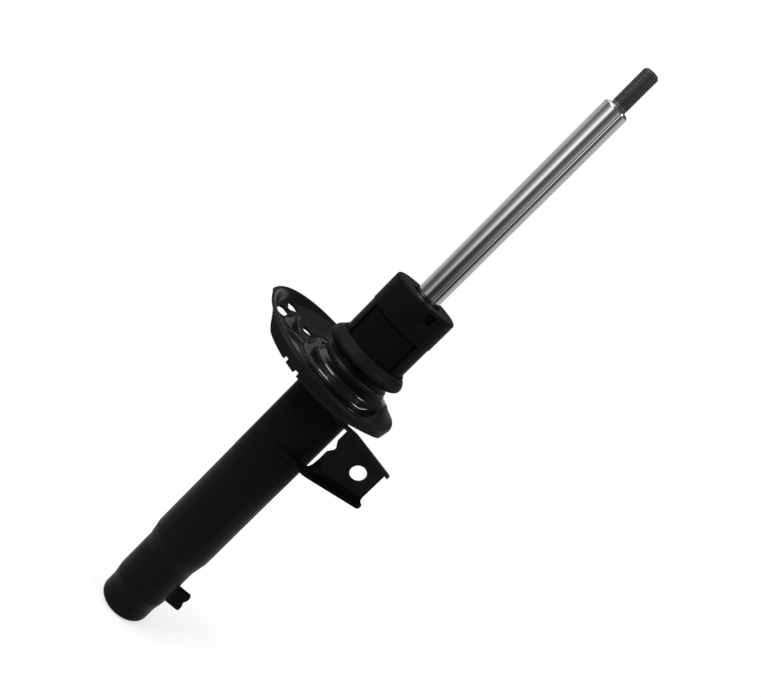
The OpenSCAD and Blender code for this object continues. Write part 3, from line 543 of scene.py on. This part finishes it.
def bead_ring():
    middle = (COLLAR_R, RING_WIDEST)
    lower = arc(middle, (RING_REACH, RING_FALL), range(-80, -7, 8))
    upper = arc(middle, RING_REACH, range(0, 57, 8))
    mouth = CAP_R + 0.4
    lip = [(mouth + 1.0, COLLAR_TOP + 2.1), (mouth, COLLAR_TOP + 1.7), (mouth, COLLAR_TOP)]
    foot = [(COLLAR_R + FIT, COLLAR_TOP), (COLLAR_R + FIT, RING_WIDEST - RING_FALL)]
    bm = turned_ring(lower + upper + lip + foot, TUBE_STEPS)
    return piece("bead_ring", bm, [RING_PAINT], "barrel", ["boot_ring"])


def collar():
    """The tube's collar, which flares out into the pan's dome."""
    flare_r = DOME_TOP_R - 0.25
    flare_h = 4.2
    bore = TUBE_R + FIT
    profile = [(bore, SEAT_Z + 5), (COLLAR_R, SEAT_Z + 5), (COLLAR_R, SEAT_Z + 8),
               (flare_r, SEAT_Z + 9)]
    profile += arc((COLLAR_R, SEAT_Z + DOME_H), (flare_r - COLLAR_R, flare_h), range(0, 91, 10))
    profile += [(COLLAR_R, COLLAR_TOP - 0.4), (COLLAR_R - 0.4, COLLAR_TOP), (bore, COLLAR_TOP)]
    bm = turned_ring(profile, TUBE_STEPS)
    # Its darker paint is painted shade under the bead ring
    return piece("neck", bm, [NECK_SHADE_PAINT], "barrel", ["seat_collar"])


# ---- spring seat ----
# The pan's functions work in its own frame, whose +X points to its low end.

SEAT_Z = TUBE_TOP - 90.5
SEAT_R = 73.0
SEAT_SHIFT = 19.3
SEAT_TURN = -10
SHEET = 2.2
DOME_H = 11.2
DOME_W = 11.6
DOME_TOP_R = COLLAR_R + 2.2
GROOVE_R = DOME_TOP_R + DOME_W
GROOVE_W = 0.07 * SEAT_R
GROOVE_DEPTH = 0.8
BEND_R = 3.2
RIM_R = SEAT_R - BEND_R
RIM_RISE = 5.2
RIM_SLOPE_X = 0.11
RIM_SLOPE_Y = 0.024
# The rim's dip: how deep, the turn it lies at and how far it reaches to both sides, in degrees
RIM_DIP = 4
RIM_DIP_AT = 52
RIM_DIP_WIDE = 48
BANK_START = 0.89
BANK_SOONER = 0.07
FLOOR_FALL = 0.6
FLOOR_TILT = 0.13
FLOOR_CLIMB = 0.08
TILT_LIMIT = 0.11 * SEAT_R
LEAST_FLOOR = 0.45
CONE_FROM = 0.4
STOP_BLEND = 1.2
SKIRT_H = 10.8
SKIRT_LEAN = 0.16
PAN_STEPS = 264
PAN_CROWDING = math.radians(17)
# Share of the dome's width, and of its height there
DOME = [(0, 1), (0.2, 0.83), (0.38, 0.72), (0.47, 0.65), (0.53, 0.53), (0.58, 0.34), (0.63, 0.13),
        (0.7, 0.02), (0.84, 0)]
# Bosses and the coil's stop: place and half widths as shares of the pan's radius, height as a
# share of the dome's, turn
BOSSES = [((-0.905, 0.13), (0.105, 0.27), 0.25, 10), ((-0.83, -0.03), (0.13, 0.15), 0.36, 20),
          ((-0.72, -0.25), (0.17, 0.14), 0.2, 30)]
COIL_STOP = ((-0.47, -0.05), (0.2, 0.24), 1.0, 0)
# Place as shares of the pan's radius, width, length, turn
DRAIN_HOLES = [((-0.685, 0.17), 9, 9.01, 0), ((-1.03, 0.03), 9.5, 15, 2),
               ((-0.99, 0.275), 9.5, 15, 26)]
EDGE_NOTCHES_AT = (-121, -112)
EDGE_NOTCH_W = 4
EDGE_NOTCH_DEPTH = 3
# The skirt's depth as a share of SKIRT_H, by the turn round the axis in degrees
SKIRT = [(-180, 0.22), (-174, 0.14), (-168, 0.05), (-151, 0.05), (-147, 0.18), (-144, 0.46),
         (-141, 0.74), (-138, 0.92), (-134, 0.99), (-127, 1.04), (-118, 1.07), (-109, 1.07),
         (-92, 0.97), (-79, 0.9), (-68, 0.82), (-55, 0.72), (-42, 0.72), (-20, 0.93), (0, 1.2),
         (6, 1.2), (11, 0.35), (150, 0.35), (180, 0.22)]


def smooth(t):
    u = min(max(t, 0.0), 1.0)
    return u * u * (3 - 2 * u)


def between(t, table):
    """Looks a value up in a table of points, along a smooth line through them."""
    if t <= table[0][0]:
        return table[0][1]
    for i, ((a, low), (b, high)) in enumerate(zip(table, table[1:])):
        if t <= b:
            before = table[max(i - 1, 0)]
            after = table[min(i + 2, len(table) - 1)]
            start = (high - before[1]) / (b - before[0]) * (b - a)
            end = (after[1] - low) / (after[0] - a) * (b - a)
            u = (t - a) / (b - a)
            rise = high - low
            if start * rise < 0 or rise == 0:
                start = 0
            if end * rise < 0 or rise == 0:
                end = 0
            start = math.copysign(min(abs(start), 2 * abs(rise)), rise)
            end = math.copysign(min(abs(end), 2 * abs(rise)), rise)
            return (low * (2 * u ** 3 - 3 * u * u + 1) + start * (u ** 3 - 2 * u * u + u)
                    + high * (3 * u * u - 2 * u ** 3) + end * (u ** 3 - u * u))
    return table[-1][1]


def reach(a, r):
    """How far from the axis a circle about the pan's middle lies, at that turn."""
    return -SEAT_SHIFT * math.cos(a) + math.sqrt(r * r - (SEAT_SHIFT * math.sin(a)) ** 2)


def boss(x, y, spot):
    (bx, by), (wx, wy), height, turn = spot
    dx, dy = x / SEAT_R - bx, y / SEAT_R - by
    c, s = math.cos(math.radians(turn)), math.sin(math.radians(turn))
    away = math.hypot((dx * c + dy * s) / wx, (dy * c - dx * s) / wy)
    return height * DOME_H * smooth(1.2 * (1 - away)) * (1 - 0.12 * away * away)


def rim_height(x, y):
    away = abs(math.degrees(math.atan2(y, x)) - RIM_DIP_AT) / RIM_DIP_WIDE
    return SEAT_Z + RIM_RISE - RIM_SLOPE_X * x + RIM_SLOPE_Y * y - RIM_DIP * smooth(1 - away)


def bank_from(x, y):
    """The share of the way out to the rim at which the floor starts to bank up."""
    sooner = smooth((0.07 - y / SEAT_R) / 0.27) * smooth((0.41 - x / SEAT_R) / 0.55)
    return BANK_START - BANK_SOONER * sooner


def low_end_cone(x, y, r):
    """At the low end the dome runs straight out to the rim, with no floor between them."""
    shoulder = DOME_TOP_R + CONE_FROM * DOME_W
    edge = reach(math.atan2(y, x), RIM_R)
    share = (r - shoulder) / (edge - shoulder)
    if share < 0:
        return SEAT_Z + DOME_H * between((r - DOME_TOP_R) / DOME_W, DOME)
    top = SEAT_Z + DOME_H * between(CONE_FROM, DOME)
    end = rim_height(edge * x / r, edge * y / r)
    return top + (end - top) * (0.55 * share + 0.45 * smooth(share))


def pan_height(x, y):
    r = math.hypot(x, y)
    start = bank_from(x, y)
    bank = smooth((math.hypot(x + SEAT_SHIFT, y) / RIM_R - start) / (1 - start))
    past = (r - GROOVE_R) / GROOVE_W
    if r < GROOVE_R:
        groove = -GROOVE_DEPTH * smooth((r - DOME_TOP_R) / DOME_W)
    else:
        groove = GROOVE_DEPTH * (2 * smooth(past) - smooth(past - 1) - 1)
    fall = FLOOR_FALL * smooth((x / SEAT_R - 0.14) / 0.55)
    fall *= smooth((r - DOME_TOP_R) / (0.78 * DOME_W))
    tilt = FLOOR_TILT * max(y, -TILT_LIMIT) + FLOOR_CLIMB * max(0, r - GROOVE_R)
    climb = tilt * smooth((-x / SEAT_R - 0.27) / 0.34) * smooth((r - DOME_TOP_R - SHEET) / DOME_W)
    dome = DOME_H * between((r - DOME_TOP_R) / DOME_W, DOME)
    stop = boss(x, y, COIL_STOP)
    higher = (dome + stop + math.hypot(dome - stop, STOP_BLEND) - STOP_BLEND) / 2
    raised = higher + sum(boss(x, y, spot) for spot in BOSSES)
    floor_height = SEAT_Z + groove + raised - fall + climb
    height = floor_height + (rim_height(x, y) - floor_height) * bank
    return height + (low_end_cone(x, y, r) - height) * smooth((x / SEAT_R - 0.3) / 0.25)


def pan_section(a):
    """The upper face's line from the dome's opening out over the rim and down the skirt."""
    c, s = math.cos(a), math.sin(a)
    far = reach(a, RIM_R)
    bank_foot = reach(a, bank_from(far * c, far * s) * RIM_R)
    foot = max(bank_foot, GROOVE_R + (far - GROOVE_R) * LEAST_FLOOR)
    crest = rim_height(far * c, far * s)
    drop = SKIRT_H * between(math.degrees(a), SKIRT)
    bend = math.acos(1 - drop / BEND_R) if drop < BEND_R else math.pi / 2
    rest = max(drop - BEND_R, 0.3)
    lean = SKIRT_LEAN * smooth((far * c / SEAT_R - 0.14) / 0.41)
    radii = [DOME_TOP_R + DOME_W * k / 22 for k in range(22)]
    radii += [GROOVE_R + (foot - GROOVE_R) * k / 20 for k in range(21)]
    radii += [foot + (far - foot) * k / 10 for k in range(1, 10)]
    line = [Vector((r, pan_height(r * c, r * s))) for r in radii]
    line += [Vector((far + BEND_R * math.sin(q), crest - BEND_R * (1 - math.cos(q))))
             for q in (bend * k / 6 for k in range(7))]
    edge = line[-1]
    down = Vector((math.cos(bend) - lean, -math.sin(bend)))
    line += [edge + rest * k / 3 * down for k in range(1, 4)]
    return line


def sheet_section(a):
    """Both faces of the sheet at that angle, as one closed line."""
    upper = pan_section(a)
    lower = []
    for i, point in enumerate(upper):
        run = upper[min(i + 1, len(upper) - 1)] - upper[max(i - 1, 0)]
        lower.append(point + SHEET * Vector((run.y, -run.x)).normalized())
    return upper + lower[::-1]


def drain_hole(spot, width, length, turn):
    """A round-ended hole's cutter."""
    half = (length - width) / 2
    outline = [(width / 2 * math.cos(q), width / 2 * math.sin(q) + (half if q < math.pi else -half))
               for q in (TURN * (k + 0.5) / 32 for k in range(32))]
    hole = turn_round(prism(outline, "z", SEAT_Z - 20, SEAT_Z + 20), turn)
    bmesh.ops.translate(hole, vec=(spot[0] * SEAT_R, spot[1] * SEAT_R, 0), verts=hole.verts)
    return hole


def edge_notch(turn):
    """A notch's cutter at the skirt's lower edge."""
    a = math.radians(turn)
    r = reach(a, RIM_R)
    edge = rim_height(r * math.cos(a), r * math.sin(a)) - SKIRT_H * between(turn, SKIRT)
    half, low, top = EDGE_NOTCH_W / 2, edge - 5, edge + EDGE_NOTCH_DEPTH
    outline = eased([(-half, low), (half, low), (half, top, 0.8), (-half, top, 0.8)])
    return turn_round(prism(outline, "x", r - 4, r + 8), turn)


def spring_seat():
    bm = bmesh.new()
    rings = []
    for k in range(PAN_STEPS):
        even = -math.pi + TURN * k / PAN_STEPS
        a = even + PAN_CROWDING * math.sin(even)
        rings.append([bm.verts.new((q.x * math.cos(a), q.x * math.sin(a), q.y))
                      for q in sheet_section(a)])
    for near, far in zip(rings, rings[1:] + rings[:1]):
        skin(bm, near, far)
    holes = [drain_hole(*hole) for hole in DRAIN_HOLES]
    bm = cut(bm, *holes, *[edge_notch(turn) for turn in EDGE_NOTCHES_AT])
    break_edges(bm, 0.4, above=50)
    bmesh.ops.dissolve_degenerate(bm, edges=bm.edges, dist=0.0001)
    for face in bm.faces:
        x, y, _ = face.calc_center_median()
        face.material_index = int(math.hypot(x + SEAT_SHIFT, y) > RIM_R - 0.5 or x > 0.5 * SEAT_R)
    turn_round(bm, SEAT_TURN)
    return piece("pressed_pan", bm, [SEAT_PAINT, SKIRT_PAINT], "barrel",
                 ["spring_seat"])


def seat_weld():
    bm = bmesh.new()
    weld_bead(bm, round_path(COLLAR_R + 0.6, SEAT_Z + 6.6), BEAD_R)
    weld_bead(bm, round_path(TUBE_R + 0.5, SEAT_Z + 4.6), 1.4)
    return piece("pan_weld", bm, [WELD_PAINT], "barrel", ["seat_weld"])


# ---- link bracket ----

BRACKET_Z = SEAT_Z - 71
BRACKET_H = 52.4
BRACKET_T = 3.0
BRACKET_L = 73.2
BRACKET_FROM = -10
BRACKET_TO = 75.2
BRACKET_STEPS = 90
WEB_Y = -24.0
WEB_BACK = WEB_Y + BRACKET_T / 2
WEB_FRONT = WEB_Y - BRACKET_T / 2
LOWER_KNEE = 25.0
UPPER_KNEE = 33.0
WEB_LEFT = math.sqrt(TUBE_R ** 2 - WEB_Y ** 2) + 12.7
SLOPE = 0.18
# The bends' radii: the lower fold's inside, which widens by DART_R towards the tube over DART_L
# before DART_END, and the upper fold's inside and outside
LOWER_BEND_R = 4.5
DART_R = 6.5
DART_L = 14
DART_END = LOWER_KNEE + DART_L
UPPER_BEND_IN = 3
UPPER_BEND_OUT = 5.5
# How high above the bracket's foot the fold's faces take the painted shade
SHADED_FOLD_TOP = 6.5
STRIP_Z = BRACKET_Z + BRACKET_H - 4.8
LINK_HOLE = (56.6, BRACKET_Z + 27.4)
LINK_HOLE_R = 7.1
WEB_NOTCH_Z = BRACKET_Z + 29.5
WEB_NOTCH_R = 3.8
WEB_NOTCH_SIDE = 6.4
# The lower and upper flanges' front edges, by place along the bracket
LOWER_EDGE = [(-10, -26), (-6, -27.8), (3.3, -28.9), (9.8, -31.9), (16, -35.3), (21, -36.9),
              (72.6, -36.9), (74, -36), (74.4, -34.6), (75.2, -34)]
UPPER_EDGE = [(-10, -23), (0, -23.5), (8, -27.5), (20, -30.5), (73, -31.6), (74.8, -31),
              (75.2, -29.6)]
# The welds along the tube: from which turn to which, and height
BRACKET_WELDS = [(-106, -59, BRACKET_Z - 0.6), (-82, -60, BRACKET_Z + BRACKET_H + 0.6)]


def soft_knee(x, knee):
    """Rises from 0 past the knee, with a short bend there."""
    half = 2.5
    past = x - knee
    if past < -half:
        return 0
    if past > half:
        return past
    return (past + half) ** 2 / (4 * half)


def straight(t, table):
    """Looks a value up in a table of points, straight between them."""
    for (a, low), (b, high) in zip(table, table[1:]):
        if t <= b:
            return low + (high - low) * max(t - a, 0) / (b - a)
    return table[-1][1]


def dart(x):
    """How much the lower fold has widened towards the tube, from 0 to 1."""
    return smooth((DART_END - x) / DART_L)


def bracket_section(x):
    """The channel's outline across X, with its bends rounded inside and out."""
    low = BRACKET_Z + SLOPE * soft_knee(x, LOWER_KNEE)
    high = BRACKET_Z + BRACKET_H - SLOPE * soft_knee(x, UPPER_KNEE)
    least = WEB_FRONT - 0.6
    lower_front = min(straight(x, LOWER_EDGE), least)
    upper_front = min(straight(x, UPPER_EDGE), least)
    lower_in = min(LOWER_BEND_R + DART_R * dart(x), WEB_FRONT - lower_front - 0.3)
    lower_out = 1 + 6 * smooth((x - WEB_LEFT + 3) / 6)
    upper_in = min(UPPER_BEND_IN, WEB_FRONT - upper_front - 0.3)
    upper_out = min(UPPER_BEND_OUT, WEB_BACK - upper_front - 0.5)
    points = [(upper_front, high), (WEB_BACK, high, upper_out),
              (WEB_BACK, low, lower_out), (lower_front, low),
              (lower_front, low + BRACKET_T), (WEB_FRONT, low + BRACKET_T, lower_in),
              (WEB_FRONT, high - BRACKET_T, upper_in), (upper_front, high - BRACKET_T)]
    return [(x, y, z) for y, z in eased(points, steps=6)]


def link_bracket():
    span = BRACKET_TO - BRACKET_FROM
    even = {BRACKET_FROM + span * k / BRACKET_STEPS for k in range(BRACKET_STEPS + 1)}
    xs = sorted(even | {x for x, _ in LOWER_EDGE + UPPER_EDGE})
    floor_z = BRACKET_Z + BRACKET_T
    beyond = (BRACKET_Z - 10, BRACKET_Z + BRACKET_H + 10)
    notch = arc((WEB_LEFT - 0.3, WEB_NOTCH_Z), WEB_NOTCH_R, range(-52, 53, 13))
    gap = [(-1, floor_z), (WEB_LEFT - 2, floor_z, 1.5), (WEB_LEFT - 0.6, floor_z + 4, 3),
           (WEB_LEFT, floor_z + 11, 6), (WEB_LEFT, WEB_NOTCH_Z - WEB_NOTCH_SIDE, 1.5), *notch,
           (WEB_LEFT, WEB_NOTCH_Z + WEB_NOTCH_SIDE, 1.5), (WEB_LEFT, STRIP_Z, 1.2), (-1, STRIP_Z)]
    web_end = [(BRACKET_L, -15), (BRACKET_L, WEB_FRONT - 1), (BRACKET_L + 2.1, WEB_FRONT - 6),
               (90, WEB_FRONT - 6), (90, -15)]
    hole = arc(LINK_HOLE, LINK_HOLE_R, [360 * k / 64 for k in range(64)])
    tube = arc((0, 0), TUBE_R + FIT, range(0, 360, 2))
    bm = cut(lofted([bracket_section(x) for x in xs]),
             prism(tube, "z", *beyond), prism(eased(gap), "y", -36, -15),
             prism(web_end, "z", *beyond), prism(hole, "y", -30, -15))
    break_edges(bm, 0.25)
    merge_close(bm)
    # Faces low on the fold take the darker copy, which paints shade on them; the web keeps the
    # lighter copy
    for face in bm.faces:
        x, _, z = face.calc_center_median()
        shaded_top = SHADED_FOLD_TOP + DART_R * dart(x) + SLOPE * soft_knee(x, LOWER_KNEE)
        face.material_index = int(z < BRACKET_Z + shaded_top)
    return piece("folded_bracket", bm, [BRACKET_LIT_PAINT, FOLD_SHADE_PAINT], "barrel",
                 ["link_bracket"])


def bracket_weld():
    bm = bmesh.new()
    for start, end, z in BRACKET_WELDS:
        steps = int((end - start) * 1.6)
        weld_bead(bm, round_path(TUBE_R + 0.3, z, start, end, steps), BEAD_R)
    return piece("bracket_beads", bm, [WELD_PAINT], "barrel", ["bracket_weld"])


# ---- locating tab ----

TAB_Z = 27.6
TAB_H = 18.0
TAB_TOP = TAB_Z + TAB_H
TAB_REACH = 39.5
TAB_T = 4.0
TAB_NOTCH_R = 5
TAB_WELD_STEPS = 40


def locating_tab():
    notch_at = (TAB_REACH + 3.4, TAB_Z + TAB_H / 2)
    notch = arc(notch_at, (-TAB_NOTCH_R, TAB_NOTCH_R), range(-46, 47, 8))
    root = CLAMP_R - 2
    outline = [(root, TAB_Z), (TAB_REACH, TAB_Z, 2), *notch, (TAB_REACH, TAB_TOP, 2),
               (root, TAB_TOP)]
    tube = arc((0, 0), CLAMP_R + FIT, range(0, 360, 2))
    plate = prism(eased(outline), "y", -TAB_T / 2, TAB_T / 2)
    bm = cut(plate, prism(tube, "z", TAB_Z - 1, TAB_TOP + 1))
    break_edges(bm, 0.5)
    # The tab takes the fold's darker copy of the paint: painted shade
    return piece("tab_plate", bm, [FOLD_SHADE_PAINT], "barrel", ["locating_tab"])


def tab_weld():
    bm = bmesh.new()
    heights = [TAB_Z + 1 + (TAB_H - 2) * k / TAB_WELD_STEPS for k in range(TAB_WELD_STEPS + 1)]
    for side in (-1, 1):
        weld_bead(bm, [(CLAMP_R + 0.1, side * (TAB_T / 2 + 0.4), z) for z in heights], BEAD_R)
    return piece("tab_beads", bm, [WELD_PAINT], "barrel", ["tab_weld"])


# ---- piston rod ----

ROD_STEPS = 160
ROD_EDGE_R = 2.5
PITCH = 1.5
THREAD_DEPTH = 0.5 * PITCH
THREAD_STEPS = 96
# One turn of the thread: share of the pitch, and of the depth there
THREAD_SHAPE = [(0, 0), (0.2, 0), (0.3, 0.2), (0.5, 0.9), (0.58, 1), (0.66, 0.9), (0.86, 0.2),
                (0.96, 0)]
STUD_CHAMFER = 1.8
SOCKET_AF = 6.0
SOCKET_DEPTH = 7.0


def stud_thread(bm, low, high):
    """A rolled thread, spun once round while it climbs by one pitch, and trimmed at both ends."""
    line = []
    for turn in range(math.ceil((high - low) / PITCH) + 2):
        for share, sunk in THREAD_SHAPE[1:] if turn else THREAD_SHAPE:
            spot = (STUD_R - sunk * THREAD_DEPTH, 0, low + (turn - 1.2 + share) * PITCH)
            line.append(bm.verts.new(spot))
    edges = [bm.edges.new(pair) for pair in zip(line, line[1:])]
    bmesh.ops.spin(bm, geom=line + edges, cent=(0, 0, 0), axis=(0, 0, 1), angle=TURN,
                   steps=THREAD_STEPS, dvec=(0, 0, PITCH / THREAD_STEPS), use_merge=False)
    bmesh.ops.remove_doubles(bm, verts=bm.verts, dist=0.002)
    for height, normal in ((low, (0, 0, -1)), (high, (0, 0, 1))):
        bmesh.ops.bisect_plane(bm, geom=bm.verts[:] + bm.edges[:] + bm.faces[:],
                               plane_co=(0, 0, height), plane_no=normal, clear_outer=True,
                               dist=0.0001)
    for v in bm.verts:
        r = math.hypot(v.co.x, v.co.y)
        room = min(STUD_R - STUD_CHAMFER + (high - v.co.z), STUD_NECK_R + (v.co.z - low) * 0.8)
        if r > room:
            v.co.x *= room / r
            v.co.y *= room / r


def hexagon_socket(stud, top):
    """Closes the stud's top inwards to a hexagon, and sinks that to the socket's floor."""
    rim = [edge for edge in open_edges(stud) if min(v.co.z for v in edge.verts) > top - 0.01]
    for drop, inset in ((0, True), (SOCKET_DEPTH, False)):
        grown = bmesh.ops.extrude_edge_only(stud, edges=rim)["geom"]
        fresh = [g for g in grown if isinstance(g, bmesh.types.BMVert)]
        rim = [g for g in grown if isinstance(g, bmesh.types.BMEdge) and g.is_boundary]
        for v in fresh:
            if inset:
                a = math.atan2(v.co.y, v.co.x)
                flat = (a + math.pi / 6) % (math.pi / 3) - math.pi / 6
                r = SOCKET_AF / 2 / math.cos(flat)
                v.co.x, v.co.y = r * math.cos(a), r * math.sin(a)
            v.co.z = top - drop
    bmesh.ops.edgeloop_fill(stud, edges=rim)


def piston_rod():
    bm = bmesh.new()
    neck_top = SHOULDER_Z + STUD_NECK_H
    stud_top = SHOULDER_Z + STUD_H
    corner = arc((ROD_R - ROD_EDGE_R, SHOULDER_Z - ROD_EDGE_R), ROD_EDGE_R, range(0, 91, 15))
    spigot = [(SPIGOT_R - 1, ROD_LOW), (SPIGOT_R, ROD_LOW + 1), (SPIGOT_R, SHOULDER_LOW)]
    neck = [(STUD_NECK_R, SHOULDER_Z), (STUD_NECK_R, neck_top)]
    turned(bm, [*spigot, (ROD_R, SHOULDER_LOW), *corner, *neck], ROD_STEPS)
    bmesh.ops.edgeloop_fill(bm, edges=open_edges(bm))
    for face in bm.faces:
        face.material_index = 0 if face.calc_center_median().z < SHOULDER_Z - 0.4 else 1
    stud = bmesh.new()
    stud_thread(stud, neck_top, stud_top)
    hexagon_socket(stud, stud_top)
    bmesh.ops.edgeloop_fill(stud, edges=open_edges(stud))
    for face in stud.faces:
        face.material_index = 1
    join(bm, stud)
    return piece("rod_piece", bm, [ROD_CHROME, DARK_STEEL], "rod", ["piston_rod"])


# ---- check springs ----


def check_spring(node, body):
    """A check plate's spring, copied from its CAD node with a mesh of its own. The real one
    flattens towards its fixed end as the plate lifts.
    """
    bm = bmesh.new()
    bm.from_mesh(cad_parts[node].data)
    bmesh.ops.remove_doubles(bm, verts=bm.verts, dist=0.001 * MM)
    bmesh.ops.scale(bm, vec=(1 / MM, 1 / MM, 1 / MM), verts=bm.verts)
    made = piece(node + "_wave", bm, [SPRING_STEEL], body, [node])
    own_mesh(made)


def check_springs():
    check_spring("base_check_spring", "barrel")
    check_spring("piston_check_spring", "rod")


for make in (piston_rod, tube_body, bump_cap, bead_ring, collar, spring_seat, seat_weld,
             link_bracket, bracket_weld, locating_tab, tab_weld, check_springs):
    make()


# ---- floor, light and camera ----

CAMERA_AT = Vector((-0.11949, -0.68973, 0.475))
FORWARD = Vector((0.1696, 0.9619, -0.2147)).normalized()
LEAN = math.radians(45.1)
FOCAL_PIXELS = 904
IMAGE_WIDTH = 761
SENSOR_WIDTH = 36
FRONT = math.atan2(-FORWARD.y, -FORWARD.x)
LAMPS_AIM = Vector((0, 0, 0.33))

# The room's windows and dark stretches, by the turn from the camera's side towards its right, in
# degrees, as shares of the brightest, and how far up and down they reach before the dim rest
BRIGHTEST = 1.5
WINDOWS = [(-180, 0.37), (-150, 0.37), (-112, 0.4), (-98, 0.27), (-78, 0.1), (-64, 0.18),
           (-52, 0.27), (-44, 0.57), (-28, 0.93), (-20, 0.5), (-12, 0.12), (0, 0.06), (20, 0.12),
           (32, 0.18), (37, 0.55), (42, 0.12), (54, 0.17), (58.5, 1), (62, 0.12), (73, 0.06),
           (82, 0.08), (94, 0.33), (112, 0.42), (135, 0.37), (152, 0.33), (180, 0.37)]
WINDOWS_REACH = math.sin(math.radians(11))
DIM_BEYOND = math.sin(math.radians(15))
DIM = 0.08
# The even light that the pale room sends on matt faces
FILL = 0.45
# How much dimmer the camera's side is low down than high up, and the heights between which it
# changes
DIMMER = (0.6, -0.1)
DIMMER_FROM = (-0.12, 0.06)
# How wide the backdrop lies behind the part, in degrees, and below which heights it begins
BACKDROP_WIDE = (38, 30)
BACKDROP_BELOW = (0.03, -0.07)
# The floor's own glow: how far out, and how strong
GLOW_OUT = (0.08, 0.4)
GLOW = (0.66, 0.95)
FLOOR_R = 0.42
FLOOR_DROP = 0.0005


def shown_rays(tree):
    """Rays that should find white: the camera's, and those that gloss and glass send on."""
    rays = add_node(tree, "LightPath")
    seen = combined(tree, "MAXIMUM", rays["Is Camera Ray"], rays["Is Glossy Ray"])
    return combined(tree, "MAXIMUM", seen, rays["Is Transmission Ray"])


def floor_white():
    """White that keeps the shadow of what stands on it."""
    material = bpy.data.materials.new("floor_white")
    material.use_nodes = True
    tree = material.node_tree
    tree.nodes.clear()
    plain = add_node(tree, "BsdfDiffuse", {"Color": grey(0.8)})
    faint = add_node(tree, "BsdfDiffuse", {"Color": grey(0.4)})
    away = add_node(tree, "VectorMath", [add_node(tree, "TexCoord")["Object"]], operation="LENGTH")
    glow = add_node(tree, "Emission", {"Strength": ranged(tree, away["Value"], *GLOW_OUT, *GLOW)})
    both = add_node(tree, "AddShader", (faint[0], glow[0]))
    pick = add_node(tree, "MixShader", (shown_rays(tree), plain[0], both[0]))
    add_node(tree, "OutputMaterial", {"Surface": pick[0]})
    return material


def floor():
    bm = bmesh.new()
    bmesh.ops.create_circle(bm, cap_ends=True, radius=FLOOR_R, segments=128)
    mesh = new_mesh("floor", bm)
    mesh.materials.append(floor_white())
    made = new_object("floor", mesh)
    made.location.z = -FLOOR_DROP


def room_light(tree, x, y, z):
    """A pale room with tall windows, darker stretches between them, and less light low in front."""
    side = ranged(tree, combined(tree, "ARCTAN2", y, x), -math.pi, math.pi)
    stops = [((turn + 180) / 360, share) for turn, share in WINDOWS]
    up = ranged(tree, combined(tree, "ABSOLUTE", z), WINDOWS_REACH, DIM_BEYOND)
    walls = add_node(tree, "Mix", {0: up, 6: ramped(tree, side, stops, "EASE"), 7: grey(DIM)},
                     data_type="RGBA")[2]
    low = ranged(tree, z, *DIMMER_FROM, *DIMMER)
    dimmed = combined(tree, "MULTIPLY", low, ranged(tree, x, 0, 0.5))
    strength = combined(tree, "MULTIPLY_ADD", dimmed, -BRIGHTEST, BRIGHTEST)
    return add_node(tree, "Background", {"Color": walls, "Strength": strength})[0]


def studio():
    """White to the camera, and to gloss and glass behind the part. Elsewhere, the room's light."""
    world = bpy.data.worlds.new("studio")
    bpy.context.scene.world = world
    world.use_nodes = True
    tree = world.node_tree
    tree.nodes.clear()
    ahead = add_node(tree, "TexCoord")["Generated"]
    axes = add_node(tree, "VectorRotate", {"Vector": ahead, "Angle": -FRONT},
                    rotation_type="Z_AXIS")
    x, y, z = add_node(tree, "SeparateXYZ", [axes["Vector"]])
    behind = ranged(tree, x, *[-math.cos(math.radians(turn)) for turn in BACKDROP_WIDE])
    backdrop = combined(tree, "MULTIPLY", behind, ranged(tree, z, *BACKDROP_BELOW))
    sent_on = combined(tree, "MULTIPLY", shown_rays(tree), backdrop)
    rays = add_node(tree, "LightPath")
    shown = combined(tree, "MAXIMUM", rays["Is Camera Ray"], sent_on)
    fill = add_node(tree, "Background", {"Color": grey(1), "Strength": FILL})
    white = add_node(tree, "Background", {"Color": grey(1)})
    lit = add_node(tree, "MixShader", (rays["Is Diffuse Ray"], room_light(tree, x, y, z), fill[0]))
    pick = add_node(tree, "MixShader", (shown, lit[0], white[0]))
    add_node(tree, "OutputWorld", {"Surface": pick[0]})


def camera():
    level = FORWARD.cross(Vector((0, 0, 1))).normalized()
    up = level.cross(FORWARD)
    right = level * math.cos(LEAN) + up * math.sin(LEAN)
    top = up * math.cos(LEAN) - level * math.sin(LEAN)
    data = bpy.data.cameras.new("camera")
    data.sensor_width = SENSOR_WIDTH
    data.lens = FOCAL_PIXELS * SENSOR_WIDTH / IMAGE_WIDTH
    made = new_object("camera", data)
    made.matrix_world = Matrix((right, top, -FORWARD)).transposed().to_4x4()
    made.location = CAMERA_AT
    bpy.context.scene.camera = made


def lamp(name, power, size, turn, distance, height):
    """A soft lamp aimed at the part, at that turn from the camera's side towards its right."""
    data = bpy.data.lights.new(name, "AREA")
    data.shape = "RECTANGLE"
    data.size, data.size_y = size
    data.energy = power
    made = new_object(name, data)
    a = FRONT + math.radians(turn)
    place = Vector((math.cos(a) * distance, math.sin(a) * distance, height))
    made.location = place
    made.rotation_euler = (LAMPS_AIM - place).to_track_quat("-Z", "Y").to_euler()
    made.visible_camera = False


camera()
floor()
studio()
lamp("left_lamp", power=17, size=(0.9, 0.3), turn=-51, distance=1.4, height=1.3)
lamp("right_lamp", power=7, size=(0.4, 0.27), turn=68, distance=1.4, height=1.3)
lamp("top_light", power=10, size=(1.8, 1.8), turn=-112, distance=0.95, height=1.75)

bpy.context.scene.view_settings.view_transform = "Standard"
